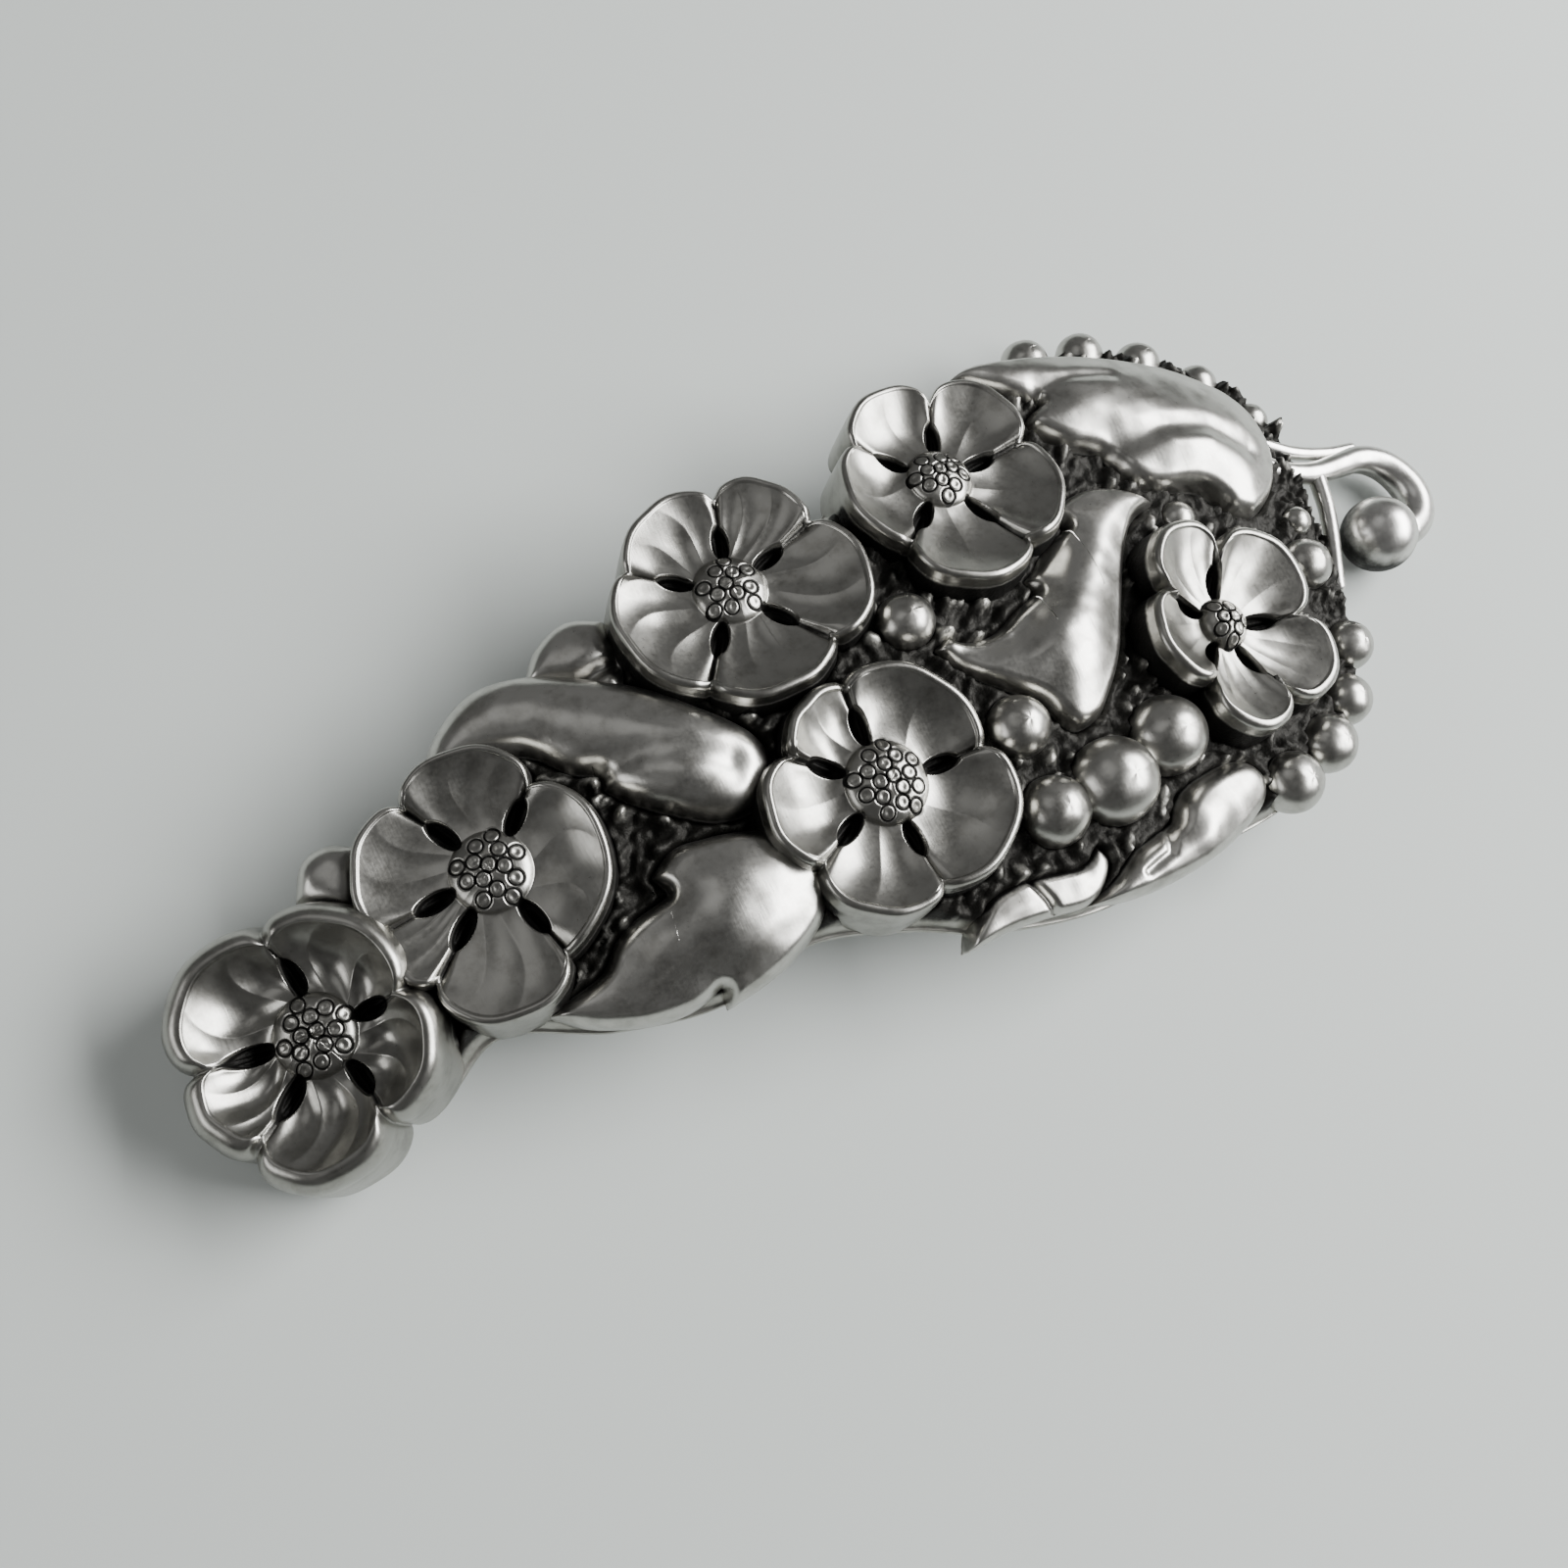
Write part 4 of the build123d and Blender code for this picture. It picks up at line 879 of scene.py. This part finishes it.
class BROOCH_OT_fittings(bpy.types.Operator):
    """Finishes the hinge, the rivet, the pin and the catch, whose shapes stay as designed."""

    bl_idname = "brooch.fittings"
    bl_label = "Pin and catch"

    def execute(self, context):
        satin = drawn_wire("Satin silver fittings", "#CFCAC0", 0.24)
        wire = drawn_wire("Drawn nickel silver pin wire", "#D2CBBE", 0.16)
        finishes = {"hinge_bracket": satin, "catch_housing": satin, "catch_rotor": satin,
                    "hinge_rivet": wire, "pin_stem": wire}
        for node, material in finishes.items():
            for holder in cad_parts[node].material_slots:
                holder.material = material
        return {"FINISHED"}


class BROOCH_OT_stage(bpy.types.Operator):
    """Makes the pale floor, the soft lights and the camera."""

    bl_idname = "brooch.stage"
    bl_label = "Stage"

    def execute(self, context):
        stage = context.scene.brooch_stage
        mesh = bpy.data.meshes.new("floor")
        reach = 1.5
        mesh.from_pydata(
            [(-reach, -reach, 0), (reach, -reach, 0), (reach, reach, 0), (-reach, reach, 0)], [], [(0, 1, 2, 3)]
        )
        floor = bpy.data.objects.new("floor", mesh)
        context.scene.collection.objects.link(floor)
        material = bpy.data.materials.new("Pale grey board")
        material.use_nodes = True
        shader = material.node_tree.nodes["Principled BSDF"]
        shader.inputs["Base Color"].default_value = stage.floor_colour
        shader.inputs["Roughness"].default_value = 0.85
        shader.inputs["Emission Color"].default_value = stage.floor_colour
        shader.inputs["Emission Strength"].default_value = 0.15
        mesh.materials.append(material)

        world = bpy.data.worlds.new("soft_studio")
        context.scene.world = world
        world.use_nodes = True
        sky = world.node_tree
        heading = add_node(sky, "ShaderNodeTexCoord").outputs["Generated"]
        cloud = add_node(
            sky, "ShaderNodeTexNoise", {"Scale": 1.7, "Detail": 1.0}, Vector=heading
        ).outputs["Fac"]
        grey = add_node(
            sky, "ShaderNodeMapRange", {"From Min": 0.36, "From Max": 0.64, "To Min": 0.04, "To Max": 0.19},
            Value=cloud,
        ).outputs["Result"]
        sky.links.new(grey, sky.nodes["Background"].inputs["Color"])

        self.softbox("window", (-14, 40), 0.42, (0.42, 0.22), 5.8 * stage.key_power)
        self.softbox("ceiling", (120, 62), 0.50, (0.30, 0.24), 0.12 * stage.key_power)
        self.softbox("far wall", (172, 24), 0.50, (0.30, 0.14), 0.5 * stage.key_power)

        tilt, bearing, roll = CAMERA_TILT, CAMERA_BEARING, CAMERA_ROLL
        swing = bearing - math.pi / 2
        level = np.array([math.cos(swing), math.sin(swing), 0.0])
        away = math.cos(tilt)
        rising = np.array([math.cos(bearing) * away, math.sin(bearing) * away, -math.sin(tilt)])
        east = math.cos(swing) * level - math.sin(swing) * rising
        north = math.sin(swing) * level + math.cos(swing) * rising
        x_row = math.cos(roll) * east + math.sin(roll) * north
        y_row = -math.sin(roll) * east + math.cos(roll) * north
        turn = np.stack([x_row, y_row, np.cross(x_row, y_row)])
        look_at = np.array([LOOK_AT[0], LOOK_AT[1], CROWN_HEIGHT]) - MIDDLE
        place_at = look_at + turn @ np.array([0.0, 0.0, CAMERA_DISTANCE])
        data = bpy.data.cameras.new("camera")
        data.lens = LENS
        data.sensor_width = 36.0
        data.clip_start = 0.005
        camera = bpy.data.objects.new("camera", data)
        context.scene.collection.objects.link(camera)
        camera.matrix_world = Matrix.Translation(Vector(place_at * MM)) @ Matrix(turn.tolist()).to_4x4()
        context.scene.camera = camera
        return {"FINISHED"}

    def softbox(self, name, towards, distance, size, power):
        """Hangs a rectangular light at a bearing and a height, in degrees, that faces the brooch."""
        data = bpy.data.lights.new(name, "AREA")
        data.shape = "RECTANGLE"
        data.size, data.size_y = size
        data.energy = power
        lamp = bpy.data.objects.new(name, data)
        bearing, height = (math.radians(angle) for angle in towards)
        line = Vector(
            (math.cos(bearing) * math.cos(height), math.sin(bearing) * math.cos(height), math.sin(height))
        )
        lamp.location = line * distance
        lamp.rotation_euler = (-line).to_track_quat("-Z", "Y").to_euler()
        bpy.context.scene.collection.objects.link(lamp)


class BROOCH_PT_panel(bpy.types.Panel):
    """Lists the pieces of the brooch."""

    bl_idname = "BROOCH_PT_panel"
    bl_label = "Silver spray brooch"
    bl_space_type = "VIEW_3D"
    bl_region_type = "UI"
    bl_category = "Brooch"

    def draw(self, context):
        for operator in MAKERS:
            self.layout.operator(operator.bl_idname)


MAKERS = (
    BROOCH_OT_stage,
    BROOCH_OT_back_plate,
    BROOCH_OT_flowers,
    BROOCH_OT_leaves,
    BROOCH_OT_berries,
    BROOCH_OT_stem,
    BROOCH_OT_fittings,
)
CLASSES = (BroochSizes, BroochStage) + MAKERS + (BROOCH_PT_panel,)


def register():
    for each in CLASSES:
        bpy.utils.register_class(each)
    bpy.types.Scene.brooch_sizes = PointerProperty(type=BroochSizes)
    bpy.types.Scene.brooch_stage = PointerProperty(type=BroochStage)


def unregister():
    del bpy.types.Scene.brooch_stage
    del bpy.types.Scene.brooch_sizes
    for each in reversed(CLASSES):
        bpy.utils.unregister_class(each)


def main():
    register()
    bpy.ops.brooch.stage()
    bpy.ops.brooch.back_plate()
    bpy.ops.brooch.flowers()
    bpy.ops.brooch.leaves()
    bpy.ops.brooch.berries()
    bpy.ops.brooch.stem()
    bpy.ops.brooch.fittings()


if __name__ == "__main__":
    main()
